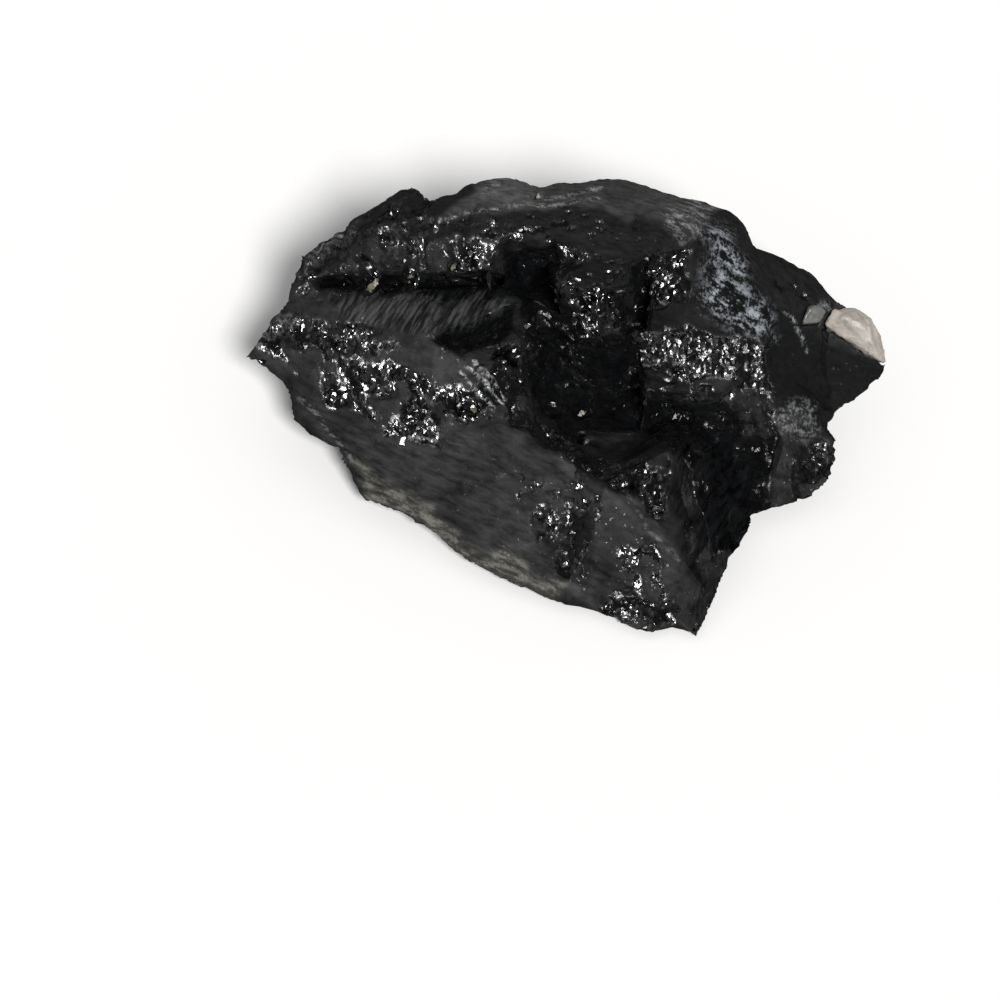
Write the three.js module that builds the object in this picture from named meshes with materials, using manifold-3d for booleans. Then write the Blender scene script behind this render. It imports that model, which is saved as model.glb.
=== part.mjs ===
// A broken lump of black tourmaline with a little cream feldspar grown on it.
//
// The lump is one closed skin made of two sheets that meet along its outline. The front
// sheet holds the ledges, steps, hollow and blocks that face up and forwards, and the back
// sheet holds the broken back and the flat foot. Millimetres, +X right, +Y away, +Z up.

import * as THREE from 'three';
import { ConvexHull } from 'three/addons/math/ConvexHull.js';
import { ConvexGeometry } from 'three/addons/geometries/ConvexGeometry.js';
import { mergeVertices } from 'three/addons/utils/BufferGeometryUtils.js';
import Module from 'manifold-3d';

// ---- Driving dimensions, in millimetres unless the name says otherwise ----

const OVERALL_LENGTH = 107; // from the left tip to the right tip
const FITTING_GAP = 0.3; // between a feldspar piece and the seat cut for it
const FRACTURE_STEP = 2.55; // longest facet edge on rough, granular fracture
const SMOOTH_STEP = 4.2; // longest facet edge on smooth faces
const HIDDEN_STEP = 5.8; // longest facet edge on the back and underside
const FRACTURE_RELIEF = 0.5; // how far rough facets stand in or out
const SMOOTH_RELIEF = 0.1; // the same on smooth faces
const HIDDEN_RELIEF = 0.75; // the same on the back and underside
const RELIEF_GRAIN = 3.2; // size of the lumps of the relief
const SPLIT_UNEVENNESS = 0.16; // share of an edge by which it is split off its middle
const STRIATION_PITCH = 3.4; // between the coarse ridges of the striated ledge
const STRIATION_HEIGHT = 0.22; // of those ridges
const FOOT_CLEARANCE = 0.35; // lowest point of the broken skin around the foot
const GRAIN_DEPTH = 1.1; // how deep a small grain sits in the lump
const CAP_THICKNESS = 4.2; // of the feldspar cap

// Corners are written as they are seen along a tilted line of sight: column to the right,
// row downwards, then the height above the foot in millimetres.
const SIGHT_TILT_DEG = 50; // how steeply the sight looks down
const SIGHT_DISTANCE = 700; // from the eye to the middle of the sight
const SIGHT_MIDDLE = 500; // column and row of the middle of the sight
const SIGHT_ANCHOR = { column: 565, row: 407, height: 20 }; // is at X 0, Y 0
const LEFT_TIP_COLUMN = 245;
const RIGHT_TIP_COLUMN = 887;
const STEPS_PER_MM = (RIGHT_TIP_COLUMN - LEFT_TIP_COLUMN) / OVERALL_LENGTH;

// Flat faces of the lump, each through three corners.
const FACES = {
  frontSlab: [[330, 402, 16.5], [600, 485, 18], [500, 580, 2.5]],
  frontBlock: [[600, 540, 12], [680, 560, 11], [640, 620, 2.5]],
  granularStep: [[345, 330, 25], [480, 338, 28], [430, 440, 16.8]],
  striatedLedge: [[330, 300, 25.5], [520, 300, 30], [435, 335, 28.3]],
  roughSlope: [[345, 273, 29.5], [488, 270, 33.5], [420, 232, 37]],
  topPlates: [[556, 239, 41], [640, 281, 41.5], [620, 203, 40.5]],
  sheenFace: [[704, 226, 38], [768, 318, 28.5], [692, 300, 32.5]],
  sparkleBand: [[650, 335, 30.5], [764, 342, 26.5], [700, 392, 20.5]],
  rightFace: [[762, 255, 29], [822, 300, 23.5], [780, 385, 17]],
  columnSide: [[692, 450, 18], [697, 632, 1.2], [748, 533, 8]],
  columnFront: [[664, 455, 19.5], [690, 450, 18.5], [684, 560, 9.6]],
  rightCrystal: [[828, 326, 21], [878, 358, 15.8], [829, 412, 8.5]],
  frostedLobe: [[770, 403, 16], [822, 420, 12.5], [790, 480, 6]],
};

// The outline, in order from the left tip, along the back, to the right and round the front.
// A corner [column, row, face, offset] lies on that face, that many millimetres above it.
const OUTLINE = {
  leftTip: [[245, 358, 17], [268, 325, 20]],
  leftEdge: [[287, 301, 22], [294, 276, 24], [300, 257, 27], [345, 229, 30.5], [360, 214, 32]],
  backLeft: [[385, 200, 33.5], [401, 190, 35], [413, 187, 35], [430, 198, 35.3], [462, 189, 35.5]],
  backPeak: [[475, 184, 36], [508, 179, 36.5], [540, 188, 37]],
  backRight: [[560, 182, 37.5], [595, 181, 38], [612, 177, 37.5], [632, 179, 37.5], [652, 187, 37],
    [675, 195, 36]],
  shoulder: [[700, 202, 35], [723, 208, 34], [738, 217, 33], [748, 228, 31.5], [753, 241, 30]],
  rightCrest: [[758, 247, 29.5], [779, 254, 28], [800, 266, 26.5], [820, 281, 25], [833, 298, 23.5]],
  rightTip: [[849, 309, 22], [863, 314, 20.8], [871, 320, 20], [879, 334, 18], [883, 352, 15.5],
    [887, 367, 13.3], [877, 382, 11], [866, 392, 10], [846, 406, 9], [836, 413, 8.5], [828, 423, 8]],
  lobeEdge: [[834, 442, 9], [837, 460, 8.5], [832, 474, 7], [824, 491, 5], [800, 502, 4],
    [775, 508, 4], [752, 516, 5]],
  cornerEdge: [[750, 531, 'columnSide'], [744, 546, 'columnSide'], [729, 558, 'columnSide'],
    [727, 569, 'columnSide'], [719, 590, 'columnSide'], [697, 636, 1.2]],
  frontFoot: [[672, 627, 1.5], [650, 634, 1.5], [632, 630, 1.5], [600, 612, 1.8], [560, 604, 2],
    [535, 594, 2], [505, 582, 2.3], [480, 568, 2.9], [445, 543, 3.9], [420, 523, 5], [390, 508, 5.4],
    [362, 496, 5.6]],
  leftFoot: [[352, 474, 7.6], [337, 450, 9.6], [312, 437, 10], [296, 421, 11.2], [291, 400, 13],
    [283, 381, 14.6], [265, 370, 15.8]],
};

// Corners of the front sheet, feature by feature.
const FRONT = {
  leftTip: [[262, 343, 19.5]],
  ledgeInnerEdge: [[318, 291, 'striatedLedge'], [334, 290, 'striatedLedge'],
    [350, 290, 'striatedLedge'], [366, 292, 'striatedLedge'], [385, 293, 'striatedLedge'],
    [400, 292, 'striatedLedge'], [415, 292, 'striatedLedge'], [430, 291, 'striatedLedge'],
    [452, 290, 'striatedLedge'], [475, 288, 'striatedLedge'], [490, 288, 'striatedLedge'],
    [503, 287, 'striatedLedge', -0.5], [535, 300, 28]],
  grooveFloor: [[322, 287, 21], [336, 286, 20.8], [349, 286, 21], [388, 288, 21.5],
    [430, 286, 21.8], [452, 285, 22.3], [475, 284, 22.8], [500, 283, 23.5]],
  grooveBosses: [[362, 288, 25.8], [376, 281, 28], [404, 283, 26.5], [418, 278, 30]],
  lipOverGroove: [[306, 279, 26], [345, 273, 'roughSlope'], [385, 271, 'roughSlope'],
    [418, 274, 'roughSlope'], [450, 271, 'roughSlope'], [488, 270, 'roughSlope'], [507, 275, 32.5]],
  slopeTop: [[350, 248, 31.5], [367, 233, 33.8], [398, 222, 36.2], [430, 236, 37], [465, 236, 37.5],
    [500, 239, 38.5], [405, 204, 36.5]],
  topRidge: [[440, 214, 38.5], [480, 209, 39.3], [520, 207, 40], [600, 202, 40.6], [640, 199, 40],
    [668, 206, 39]],
  valleyBehindRidge: [[470, 198, 37.4], [500, 194, 37.8], [540, 193, 38.2], [580, 194, 39]],
  topPlates: [[510, 232, 39.6], [556, 239, 'topPlates'], [586, 262, 'topPlates'],
    [562, 280, 'topPlates', -0.5], [600, 287, 'topPlates'], [638, 283, 'topPlates'],
    [643, 253, 'topPlates'], [668, 240, 'topPlates', -0.5], [690, 236, 39.5],
    [620, 230, 'topPlates'], [655, 217, 'topPlates', -0.5], [590, 218, 'topPlates']],
  palePlane: [[685, 213, 38.7], [712, 215, 37]],
  recessUnderTop: [[512, 257, 33], [546, 263, 31], [526, 286, 25], [547, 281, 25]],
  slotBesideColumn: [[646, 272, 33], [643, 295, 27], [640, 318, 23.5]],
  columnTop: [[653, 300, 31.5], [668, 270, 36.3], [686, 290, 33]],
  rightLedge: [[650, 333, 'sparkleBand'], [690, 335, 'sparkleBand'], [725, 338, 'sparkleBand'],
    [764, 340, 'sparkleBand']],
  sheenFace: [[704, 226, 'sheenFace'], [735, 252, 'sheenFace', 0.6], [752, 288, 'sheenFace', 0.5],
    [702, 262, 'sheenFace'], [768, 318, 'sheenFace'], [722, 300, 'sheenFace']],
  bandFoot: [[645, 388, 19.5], [690, 392, 'sparkleBand'], [730, 392, 'sparkleBand'],
    [764, 388, 'sparkleBand', -1]],
  hollow: [[562, 318, 27], [592, 343, 25], [622, 335, 26.5], [536, 330, 21], [556, 350, 15.5],
    [575, 378, 10.5], [612, 393, 9.5], [640, 350, 20], [641, 386, 12], [535, 392, 12],
    [548, 405, 9.5], [540, 430, 12], [567, 430, 9.5], [605, 446, 10], [640, 434, 10],
    [668, 414, 11]],
  leftBlockEnd: [[527, 303, 29.5], [521, 340, 26.5], [524, 395, 20.5], [531, 436, 20.2]],
  shelf: [[345, 322, 'striatedLedge', -0.7], [400, 328, 'striatedLedge', -0.2],
    [435, 336, 'striatedLedge'], [470, 329, 'striatedLedge'], [502, 306, 'striatedLedge']],
  shelfNotch: [[454, 344, 23.5], [482, 336, 23.3], [504, 322, 24.8]],
  granularStep: [[300, 322, 22.5], [302, 350, 20.5], [300, 385, 15.5],
    [330, 365, 'granularStep', -0.4], [362, 345, 'granularStep'], [385, 342, 'granularStep', 0.2],
    [460, 358, 'granularStep'], [385, 392, 'granularStep', -0.5], [430, 392, 'granularStep', 0.3],
    [487, 368, 'granularStep', -0.3], [500, 400, 'granularStep', -0.4],
    [400, 412, 'granularStep', -0.7], [450, 412, 'granularStep', 0.3]],
  slabTopEdge: [[330, 402, 'frontSlab'], [365, 418, 'frontSlab'], [402, 438, 'frontSlab'],
    [436, 443, 'frontSlab'], [466, 432, 'frontSlab', 0.4], [500, 423, 'frontSlab', 0.4],
    [545, 450, 'frontSlab'], [570, 455, 'frontSlab'], [577, 472, 'frontSlab', -0.6],
    [605, 487, 'frontSlab'], [640, 516, 'frontSlab', -1], [656, 520, 'frontSlab', -1.5]],
  slab: [[352, 442, 'frontSlab', -0.3], [390, 470, 'frontSlab'], [440, 480, 'frontSlab'],
    [505, 455, 'frontSlab', 0.2], [500, 500, 'frontSlab'], [400, 496, 'frontSlab', -0.3],
    [435, 518, 'frontSlab', -0.2], [470, 540, 'frontSlab'], [545, 482, 'frontSlab'],
    [512, 552, 'frontSlab', -0.1]],
  slabNotch: [[537, 510, 'frontSlab'], [570, 580, 'frontSlab'], [566, 530, 'frontSlab', -2.5],
    [592, 538, 'frontBlock', 0.2], [592, 592, 'frontBlock', -1]],
  frontBlock: [[605, 604, 'frontBlock'], [640, 604, 'frontBlock', 0.5],
    [668, 610, 'frontBlock', -0.5]],
  column: [[662, 452, 'columnFront'], [690, 447, 'columnFront'], [668, 512, 'columnFront'],
    [689, 505, 'columnFront', -1.5], [684, 560, 'columnFront'], [694, 562, 'columnFront', -2]],
  darkRecess: [[702, 424, 12.5], [722, 447, 8], [752, 420, 14], [757, 452, 7.5], [735, 468, 6.5],
    [745, 488, 5.5], [716, 500, 'columnSide', -0.5]],
  columnSide: [[712, 535, 'columnSide'], [705, 590, 'columnSide']],
  rightFace: [[745, 262, 32.8], [772, 290, 28.5], [800, 306, 26], [775, 345, 'rightFace'],
    [788, 378, 'rightFace'], [803, 328, 22.5]],
  rightCrystal: [[828, 325, 'rightCrystal'], [839, 331, 'rightCrystal'],
    [850, 337, 'rightCrystal'], [866, 350, 'rightCrystal'], [878, 358, 'rightCrystal'],
    [826, 398, 'rightCrystal'], [856, 372, 'rightCrystal'], [822, 352, 'rightCrystal', -0.7]],
  lobe: [[768, 403, 'frostedLobe'], [792, 398, 'frostedLobe', 0.5], [812, 405, 'frostedLobe', 0.3],
    [824, 432, 'frostedLobe', -1], [785, 440, 'frostedLobe'], [820, 450, 'frostedLobe', -0.5],
    [776, 472, 'frostedLobe'], [802, 480, 'frostedLobe']],
};

// Corners of the back sheet, which the sight doesn't reach: [x, y, z] in millimetres.
const BACK = {
  foot: [[-30, 0, 0], [-14, -11, 0], [2, -20, 0], [14, -27, 0], [20, -22, 0], [24, -12, 0],
    [33, -2, 0], [38, 8, 0], [34, 20, 0], [18, 28, 0], [-4, 30, 0], [-26, 26, 0], [-40, 18, 0]],
  belly: [[-47, 21, 10], [-37, 30, 15], [-22, 37, 17], [-8, 38.5, 11], [2, 41, 22], [14, 39, 12],
    [24, 38, 22], [34, 31, 12], [42, 26, 14], [46, 18, 7]],
  upperBack: [[-38, 31, 24], [-26, 38, 27], [-12, 40, 28], [6, 39.5, 29], [20, 39, 29]],
};

// Where the fracture is rough and granular, as loops of [column, row].
const ROUGH_ZONES = [
  [[245, 330], [300, 322], [375, 326], [440, 336], [508, 330], [528, 345], [532, 436], [500, 421],
    [466, 432], [436, 443], [402, 438], [330, 402], [262, 366]],
  [[300, 285], [288, 262], [360, 215], [405, 190], [436, 216], [505, 245], [510, 282], [345, 276]],
  [[530, 285], [645, 288], [655, 245], [690, 250], [694, 296], [640, 306], [634, 342], [550, 346]],
  [[636, 333], [768, 333], [770, 440], [700, 420], [640, 405]],
  [[540, 425], [576, 428], [612, 462], [668, 470], [664, 518], [604, 486], [568, 456]],
  [[530, 350], [640, 345], [680, 410], [640, 440], [532, 430]],
  [[592, 540], [660, 540], [676, 634], [596, 612]],
  [[534, 508], [596, 536], [592, 592], [562, 584]],
  [[766, 398], [816, 388], [838, 458], [826, 492], [776, 506]],
];

// The ledge with lengthwise striations, and the direction that they run in, seen from above.
const STRIATED_ZONE = [[325, 292], [530, 290], [506, 306], [470, 330], [435, 336], [345, 323]];
const STRIATION_ANGLE_DEG = 50;

// The cream feldspar cap on the right tip: its top edge, then its middle, which stands proud.
const CAP_EDGE = [[827, 324, 21.6], [834, 311, 23.2], [849, 309, 22.6], [863, 313, 21.4],
  [871, 319, 20.6], [879, 333, 18.6], [883, 351, 16.1], [885, 362, 14.5],
  [878, 358, 'rightCrystal', 0.2], [866, 351, 'rightCrystal', 0.2], [856, 342, 'rightCrystal', 0.2],
  [840, 332, 'rightCrystal', 0.2]];
const CAP_MIDDLE = [[846, 318, 23.4], [858, 322, 22.6], [868, 334, 20.4], [876, 344, 18.1]];
const CAP_LEAN = new THREE.Vector3(-0.3, 0.6, -1); // from its top down into the lump

// The frosty sliver beside the cap.
const SLIVER_EDGE = [[803, 323, 23.6], [807, 314, 24.6], [813, 306, 25.4], [819, 306, 25],
  [825, 312, 24], [819, 321, 23]];
const SLIVER_THICKNESS = 2.4;

// Small feldspar grains: where each shows, its length, width and how it is turned.
const GRAINS = [
  { name: 'feldspar_grain_groove', at: [372, 285], length: 4.6, width: 1.9, turn: 35 },
  { name: 'feldspar_grain_slope', at: [411, 278], length: 2.6, width: 1.6, turn: 20 },
  { name: 'feldspar_grain_lip', at: [453, 268], length: 1.9, width: 1.3, turn: -30 },
  { name: 'feldspar_grain_step', at: [474, 409], length: 2.6, width: 2.0, turn: 60 },
  { name: 'feldspar_grain_hollow', at: [581, 413], length: 2.9, width: 1.9, turn: 40 },
  { name: 'feldspar_grain_peak', at: [538, 195], length: 2.2, width: 1.4, turn: 0 },
];

const COLOURS = {
  tourmaline: { color: 0x1b1c1e, roughness: 0.38, metalness: 0 },
  feldspar: { color: 0xd6d2c9, roughness: 0.6, metalness: 0 },
  frosted: { color: 0x9a9b9c, roughness: 0.5, metalness: 0 },
};

// ---- The line of sight ----

const tilt = THREE.MathUtils.degToRad(SIGHT_TILT_DEG);
const SIGHT_FORWARD = new THREE.Vector3(0, Math.cos(tilt), -Math.sin(tilt));
const SIGHT_UP = new THREE.Vector3(0, Math.sin(tilt), Math.cos(tilt));
const SIGHT_RIGHT = new THREE.Vector3(1, 0, 0);
const EYE = new THREE.Vector3(0, 0, SIGHT_ANCHOR.height)
  .addScaledVector(SIGHT_RIGHT, (SIGHT_MIDDLE - SIGHT_ANCHOR.column) / STEPS_PER_MM)
  .addScaledVector(SIGHT_UP, (SIGHT_ANCHOR.row - SIGHT_MIDDLE) / STEPS_PER_MM)
  .addScaledVector(SIGHT_FORWARD, -SIGHT_DISTANCE);

/** The ray from the eye through a column and row, as a direction. */
function sightRay(column, row) {
  const perStep = 1 / (STEPS_PER_MM * SIGHT_DISTANCE);
  return SIGHT_FORWARD.clone()
    .addScaledVector(SIGHT_RIGHT, (column - SIGHT_MIDDLE) * perStep)
    .addScaledVector(SIGHT_UP, (SIGHT_MIDDLE - row) * perStep);
}

/** The point seen at a column and row, at a height above the foot. */
function pointAtHeight([column, row, height]) {
  const ray = sightRay(column, row);
  return EYE.clone().addScaledVector(ray, (height - EYE.z) / ray.z);
}

/** The point seen at a column and row on a named face, moved up or down to a height offset. */
function pointOnFace([column, row, face, offset = 0]) {
  const plane = new THREE.Plane().setFromCoplanarPoints(...FACES[face].map(pointAtHeight));
  const ray = sightRay(column, row);
  const reach = -(plane.normal.dot(EYE) + plane.constant) / plane.normal.dot(ray);
  const height = EYE.z + reach * ray.z + offset;
  return pointAtHeight([column, row, height]);
}

/** A corner as a point, whichever way it is written. */
function corner(spec) {
  return typeof spec[2] === 'string' ? pointOnFace(spec) : pointAtHeight(spec);
}

/** Where a point is seen, as [column, row]. */
function seenAt(point) {
  const fromEye = point.clone().sub(EYE);
  const scale = (STEPS_PER_MM * SIGHT_DISTANCE) / fromEye.dot(SIGHT_FORWARD);
  return [
    SIGHT_MIDDLE + fromEye.dot(SIGHT_RIGHT) * scale,
    SIGHT_MIDDLE - fromEye.dot(SIGHT_UP) * scale,
  ];
}

/** True where [column, row] is inside a closed loop. */
function insideLoop([column, row], loop) {
  let inside = false;
  loop.forEach(([x1, y1], i) => {
    const [x2, y2] = loop[(i + 1) % loop.length];
    const crosses = (y1 > row) !== (y2 > row);
    if (crosses && column < ((x2 - x1) * (row - y1)) / (y2 - y1) + x1) inside = !inside;
  });
  return inside;
}

// ---- Seeded noise ----

/** A number from -1 to 1 that belongs to a point of the whole-number lattice. */
function latticeValue(x, y, z) {
  const mixed = Math.sin(x * 127.1 + y * 311.7 + z * 74.7) * 43758.5453;
  return 2 * (mixed - Math.floor(mixed)) - 1;
}

/** Smooth noise from about -1 to 1 whose lumps are as large as the grain. */
function lumpNoise(point, grain) {
  const [x, y, z] = [point.x / grain, point.y / grain, point.z / grain];
  const [x0, y0, z0] = [Math.floor(x), Math.floor(y), Math.floor(z)];
  const ease = (t) => t * t * (3 - 2 * t);
  const [fx, fy, fz] = [ease(x - x0), ease(y - y0), ease(z - z0)];
  let sum = 0;
  for (const i of [0, 1]) {
    for (const j of [0, 1]) {
      for (const k of [0, 1]) {
        const weight = (i ? fx : 1 - fx) * (j ? fy : 1 - fy) * (k ? fz : 1 - fz);
        sum += weight * latticeValue(x0 + i, y0 + j, z0 + k);
      }
    }
  }
  return sum;
}

// ---- Sheets ----

/**
 * Triangles over a set of seen points that join nearest neighbours (Delaunay). They are the
 * faces that look down on the hull of the points lifted onto the bowl w = u*u + v*v.
 */
function layTriangles(seen) {
  const lifted = seen.map(([column, row]) => {
    const u = (column - SIGHT_MIDDLE) / STEPS_PER_MM;
    const v = (row - SIGHT_MIDDLE) / STEPS_PER_MM;
    return new THREE.Vector3(u, v, u * u + v * v);
  });
  const numberOf = new Map(lifted.map((point, i) => [point, i]));
  const hull = new ConvexHull().setFromPoints(lifted);
  return hull.faces
    .filter((face) => face.normal.z < -1e-9)
    .map((face) => {
      const ring = [face.edge, face.edge.next, face.edge.prev];
      return ring.map((edge) => numberOf.get(edge.head().point));
    });
}

/** Twice the area of a triangle as it is seen: negative where it turns towards the eye. */
function seenTurn([a, b, c], seen) {
  const [ax, ay] = seen[a];
  const [bx, by] = seen[b];
  const [cx, cy] = seen[c];
  return (bx - ax) * (cy - ay) - (by - ay) * (cx - ax);
}

/** The triangles of one sheet: those inside the outline, turned to face the eye or away. */
function makeSheet(numbers, points, outlineLoop, facesEye) {
  const seen = points.map(seenAt);
  const local = layTriangles(numbers.map((n) => seen[n]));
  const triangles = local.map((face) => face.map((i) => numbers[i]));
  const inside = triangles.filter((face) => {
    const middle = [0, 1].map((axis) => face.reduce((sum, n) => sum + seen[n][axis], 0) / 3);
    return insideLoop(middle, outlineLoop);
  });
  return inside.map((face) => {
    const towardsEye = seenTurn(face, seen) < 0;
    return towardsEye === facesEye ? face : [face[0], face[2], face[1]];
  });
}

/** The whole lump before its relief, as points and triangles of the front and back sheets. */
function makeRoughShape() {
  const outline = Object.values(OUTLINE).flat().map(corner);
  const front = Object.values(FRONT).flat().map(corner);
  const back = Object.values(BACK).flat().map((place) => new THREE.Vector3(...place));
  const points = [...outline, ...front, ...back];
  const span = (from, count) => Array.from({ length: count }, (_, i) => from + i);
  const edge = span(0, outline.length);
  const loop = outline.map(seenAt);
  const frontNumbers = [...edge, ...span(outline.length, front.length)];
  const backNumbers = [...edge, ...span(outline.length + front.length, back.length)];
  return {
    points,
    faces: [
      ...makeSheet(frontNumbers, points, loop, true).map((face) => ({ face, hidden: false })),
      ...makeSheet(backNumbers, points, loop, false).map((face) => ({ face, hidden: true })),
    ],
  };
}

/** The kind of surface at a point of the front or back sheet. */
function surfaceAt(point, hidden) {
  if (hidden) return { step: HIDDEN_STEP, relief: HIDDEN_RELIEF };
  const seen = seenAt(point);
  if (ROUGH_ZONES.some((zone) => insideLoop(seen, zone))) {
    return { step: FRACTURE_STEP, relief: FRACTURE_RELIEF };
  }
  return { step: SMOOTH_STEP, relief: SMOOTH_RELIEF, striated: insideLoop(seen, STRIATED_ZONE) };
}

/** Every edge of the faces, with the faces that share it. */
function edgesOf(faces) {
  const edges = new Map();
  faces.forEach(({ face }, number) => {
    face.forEach((from, i) => {
      const to = face[(i + 1) % 3];
      const key = from < to ? `${from},${to}` : `${to},${from}`;
      const edge = edges.get(key) ?? { from, to, sides: [] };
      edge.sides.push(number);
      edges.set(key, edge);
    });
  });
  return [...edges.values()];
}

/** True for a face of the flat foot. */
function isFoot({ face }, points) {
  return face.every((n) => points[n].z === 0);
}

/** Splits every edge that is longer than the step of the surface there, longest first. */
function splitLongEdges({ points, faces }) {
  for (;;) {
    const long = edgesOf(faces)
      .filter(({ sides }) => !sides.every((side) => isFoot(faces[side], points)))
      .map((edge) => {
        const [start, end] = [points[edge.from], points[edge.to]];
        const share = 0.5 + SPLIT_UNEVENNESS * latticeValue(start.x + end.x, start.y + end.y, start.z);
        const middle = start.clone().lerp(end, share);
        const hidden = edge.sides.every((side) => faces[side].hidden);
        const length = start.distanceTo(end);
        return { ...edge, middle, excess: length / surfaceAt(middle, hidden).step, length };
      })
      .filter((edge) => edge.excess > 1)
      .sort((a, b) => b.length - a.length);
    if (long.length === 0) return;
    const changed = new Set();
    for (const { from, to, sides, middle } of long) {
      if (sides.some((side) => changed.has(side))) continue;
      const added = points.push(middle) - 1;
      for (const side of sides) {
        const { face, hidden } = faces[side];
        faces[side] = { face: face.map((n) => (n === to ? added : n)), hidden };
        faces.push({ face: face.map((n) => (n === from ? added : n)), hidden });
        changed.add(side);
      }
    }
  }
}

/** A unit vector out of the skin at each point. */
function outwardAt(points, faces) {
  const outward = points.map(() => new THREE.Vector3());
  const triangle = new THREE.Triangle();
  for (const { face } of faces) {
    triangle.set(...face.map((n) => points[n]));
    const normal = triangle.getNormal(new THREE.Vector3()).multiplyScalar(triangle.getArea());
    face.forEach((n) => outward[n].add(normal));
  }
  return outward.map((normal) => normal.normalize());
}

/** How far the ridges of the striated ledge stand out at a point. */
function striation(point) {
  const angle = THREE.MathUtils.degToRad(STRIATION_ANGLE_DEG);
  const across = point.x * Math.sin(angle) - point.y * Math.cos(angle);
  return STRIATION_HEIGHT * Math.cos((2 * Math.PI * across) / STRIATION_PITCH);
}

/** Moves the skin in and out by the relief of its surface; the foot stays flat. */
function addRelief({ points, faces }) {
  const outward = outwardAt(points, faces);
  const hiddenAt = new Map();
  for (const { face, hidden } of faces) {
    face.forEach((n) => hiddenAt.set(n, (hiddenAt.get(n) ?? true) && hidden));
  }
  return points.map((point, n) => {
    if (point.z < FOOT_CLEARANCE / 2) return point.clone();
    const surface = surfaceAt(point, hiddenAt.get(n));
    const lumps = 0.55 * lumpNoise(point, RELIEF_GRAIN) + 0.45 * latticeValue(point.x, point.y, point.z);
    const rise = surface.relief * lumps + (surface.striated ? striation(point) : 0);
    const moved = point.clone().addScaledVector(outward[n], rise);
    moved.z = Math.max(moved.z, FOOT_CLEARANCE);
    return moved;
  });
}

// ---- Solids ----

const wasm = await Module();
wasm.setup();

/** A manifold solid of a closed geometry. */
function solidOf(geometry) {
  const bare = geometry.clone();
  bare.deleteAttribute('normal');
  bare.deleteAttribute('uv');
  const welded = mergeVertices(bare, 1e-5);
  return new wasm.Manifold(new wasm.Mesh({
    numProp: 3,
    vertProperties: new Float32Array(welded.attributes.position.array),
    triVerts: new Uint32Array(welded.index.array),
  }));
}

/** A geometry of a manifold solid. */
function geometryOf(solid) {
  const { vertProperties, triVerts } = solid.getMesh();
  const geometry = new THREE.BufferGeometry();
  geometry.setAttribute('position', new THREE.BufferAttribute(vertProperties, 3));
  geometry.setIndex(new THREE.BufferAttribute(triVerts, 1));
  geometry.computeVertexNormals();
  return geometry;
}

/** A geometry of points and the triangles between them. */
function geometryFrom(points, faces) {
  const geometry = new THREE.BufferGeometry().setFromPoints(points);
  geometry.setIndex(faces.flatMap(({ face }) => face));
  return geometry;
}

/** The corners pushed out to every side by the fitting gap, for the seat of a convex piece. */
function grown(corners) {
  const ways = [-FITTING_GAP, FITTING_GAP];
  const pushes = ways.flatMap((x) => ways.flatMap((y) => ways.map((z) => [x, y, z])));
  return corners.flatMap((place) => pushes.map((push) => new THREE.Vector3(...push).add(place)));
}

/** The corners of a piece whose top edge is given, and whose underside is smaller and lower. */
function slabCorners(top, lean, thickness) {
  const middle = top.reduce((sum, p) => sum.add(p), new THREE.Vector3()).divideScalar(top.length);
  const underside = top.map((p) => p.clone().lerp(middle, 0.25).addScaledVector(lean, thickness));
  return [...top, ...underside];
}

/** Corners of the cream cap on the right tip. */
function capCorners() {
  const edge = CAP_EDGE.map(corner);
  const lean = CAP_LEAN.clone().normalize();
  return [...slabCorners(edge, lean, CAP_THICKNESS), ...CAP_MIDDLE.map(pointAtHeight)];
}

/** Corners of the frosty sliver. */
function sliverCorners() {
  const lean = CAP_LEAN.clone().normalize();
  return slabCorners(SLIVER_EDGE.map(pointAtHeight), lean, SLIVER_THICKNESS);
}

/** Corners of one small grain, half sunk where the line of sight meets the lump. */
function grainCorners({ at, length, width, turn }, skin) {
  const caster = new THREE.Raycaster(EYE, sightRay(...at).normalize());
  const [hit] = caster.intersectObject(skin);
  const outward = hit.face.normal;
  const along = SIGHT_RIGHT.clone().projectOnPlane(outward).normalize();
  along.applyAxisAngle(outward, THREE.MathUtils.degToRad(turn));
  const across = outward.clone().cross(along);
  const sides = 7;
  const rings = [[0.55, 0.45], [1, 0.05], [0.6, -1]]; // share of the width, share of the depth
  return rings.flatMap(([share, level]) => Array.from({ length: sides }, (_, i) => {
    const angle = (2 * Math.PI * i) / sides;
    const uneven = 1 + 0.12 * latticeValue(i, level, length);
    return hit.point.clone()
      .addScaledVector(along, 0.5 * length * share * uneven * Math.cos(angle))
      .addScaledVector(across, 0.5 * width * share * uneven * Math.sin(angle))
      .addScaledVector(outward, GRAIN_DEPTH * level);
  }));
}

// ---- The specimen ----

const shape = makeRoughShape();
splitLongEdges(shape);
const lump = geometryFrom(addRelief(shape), shape.faces);
const skin = new THREE.Mesh(lump);
skin.updateMatrixWorld();

const pieces = [
  { name: 'feldspar_cap', corners: capCorners(), look: COLOURS.feldspar },
  { name: 'feldspar_sliver', corners: sliverCorners(), look: COLOURS.frosted },
  ...GRAINS.map((grain) => ({
    name: grain.name,
    corners: grainCorners(grain, skin),
    look: COLOURS.feldspar,
  })),
];

let tourmaline = solidOf(lump);
for (const { corners } of pieces) {
  tourmaline = tourmaline.subtract(solidOf(new ConvexGeometry(grown(corners))));
}

const group = new THREE.Group();

/** Adds one named piece to the specimen. */
function addPiece(name, geometry, look) {
  const mesh = new THREE.Mesh(geometry, new THREE.MeshStandardMaterial({ ...look, flatShading: true }));
  mesh.name = name;
  group.add(mesh);
}

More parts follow.
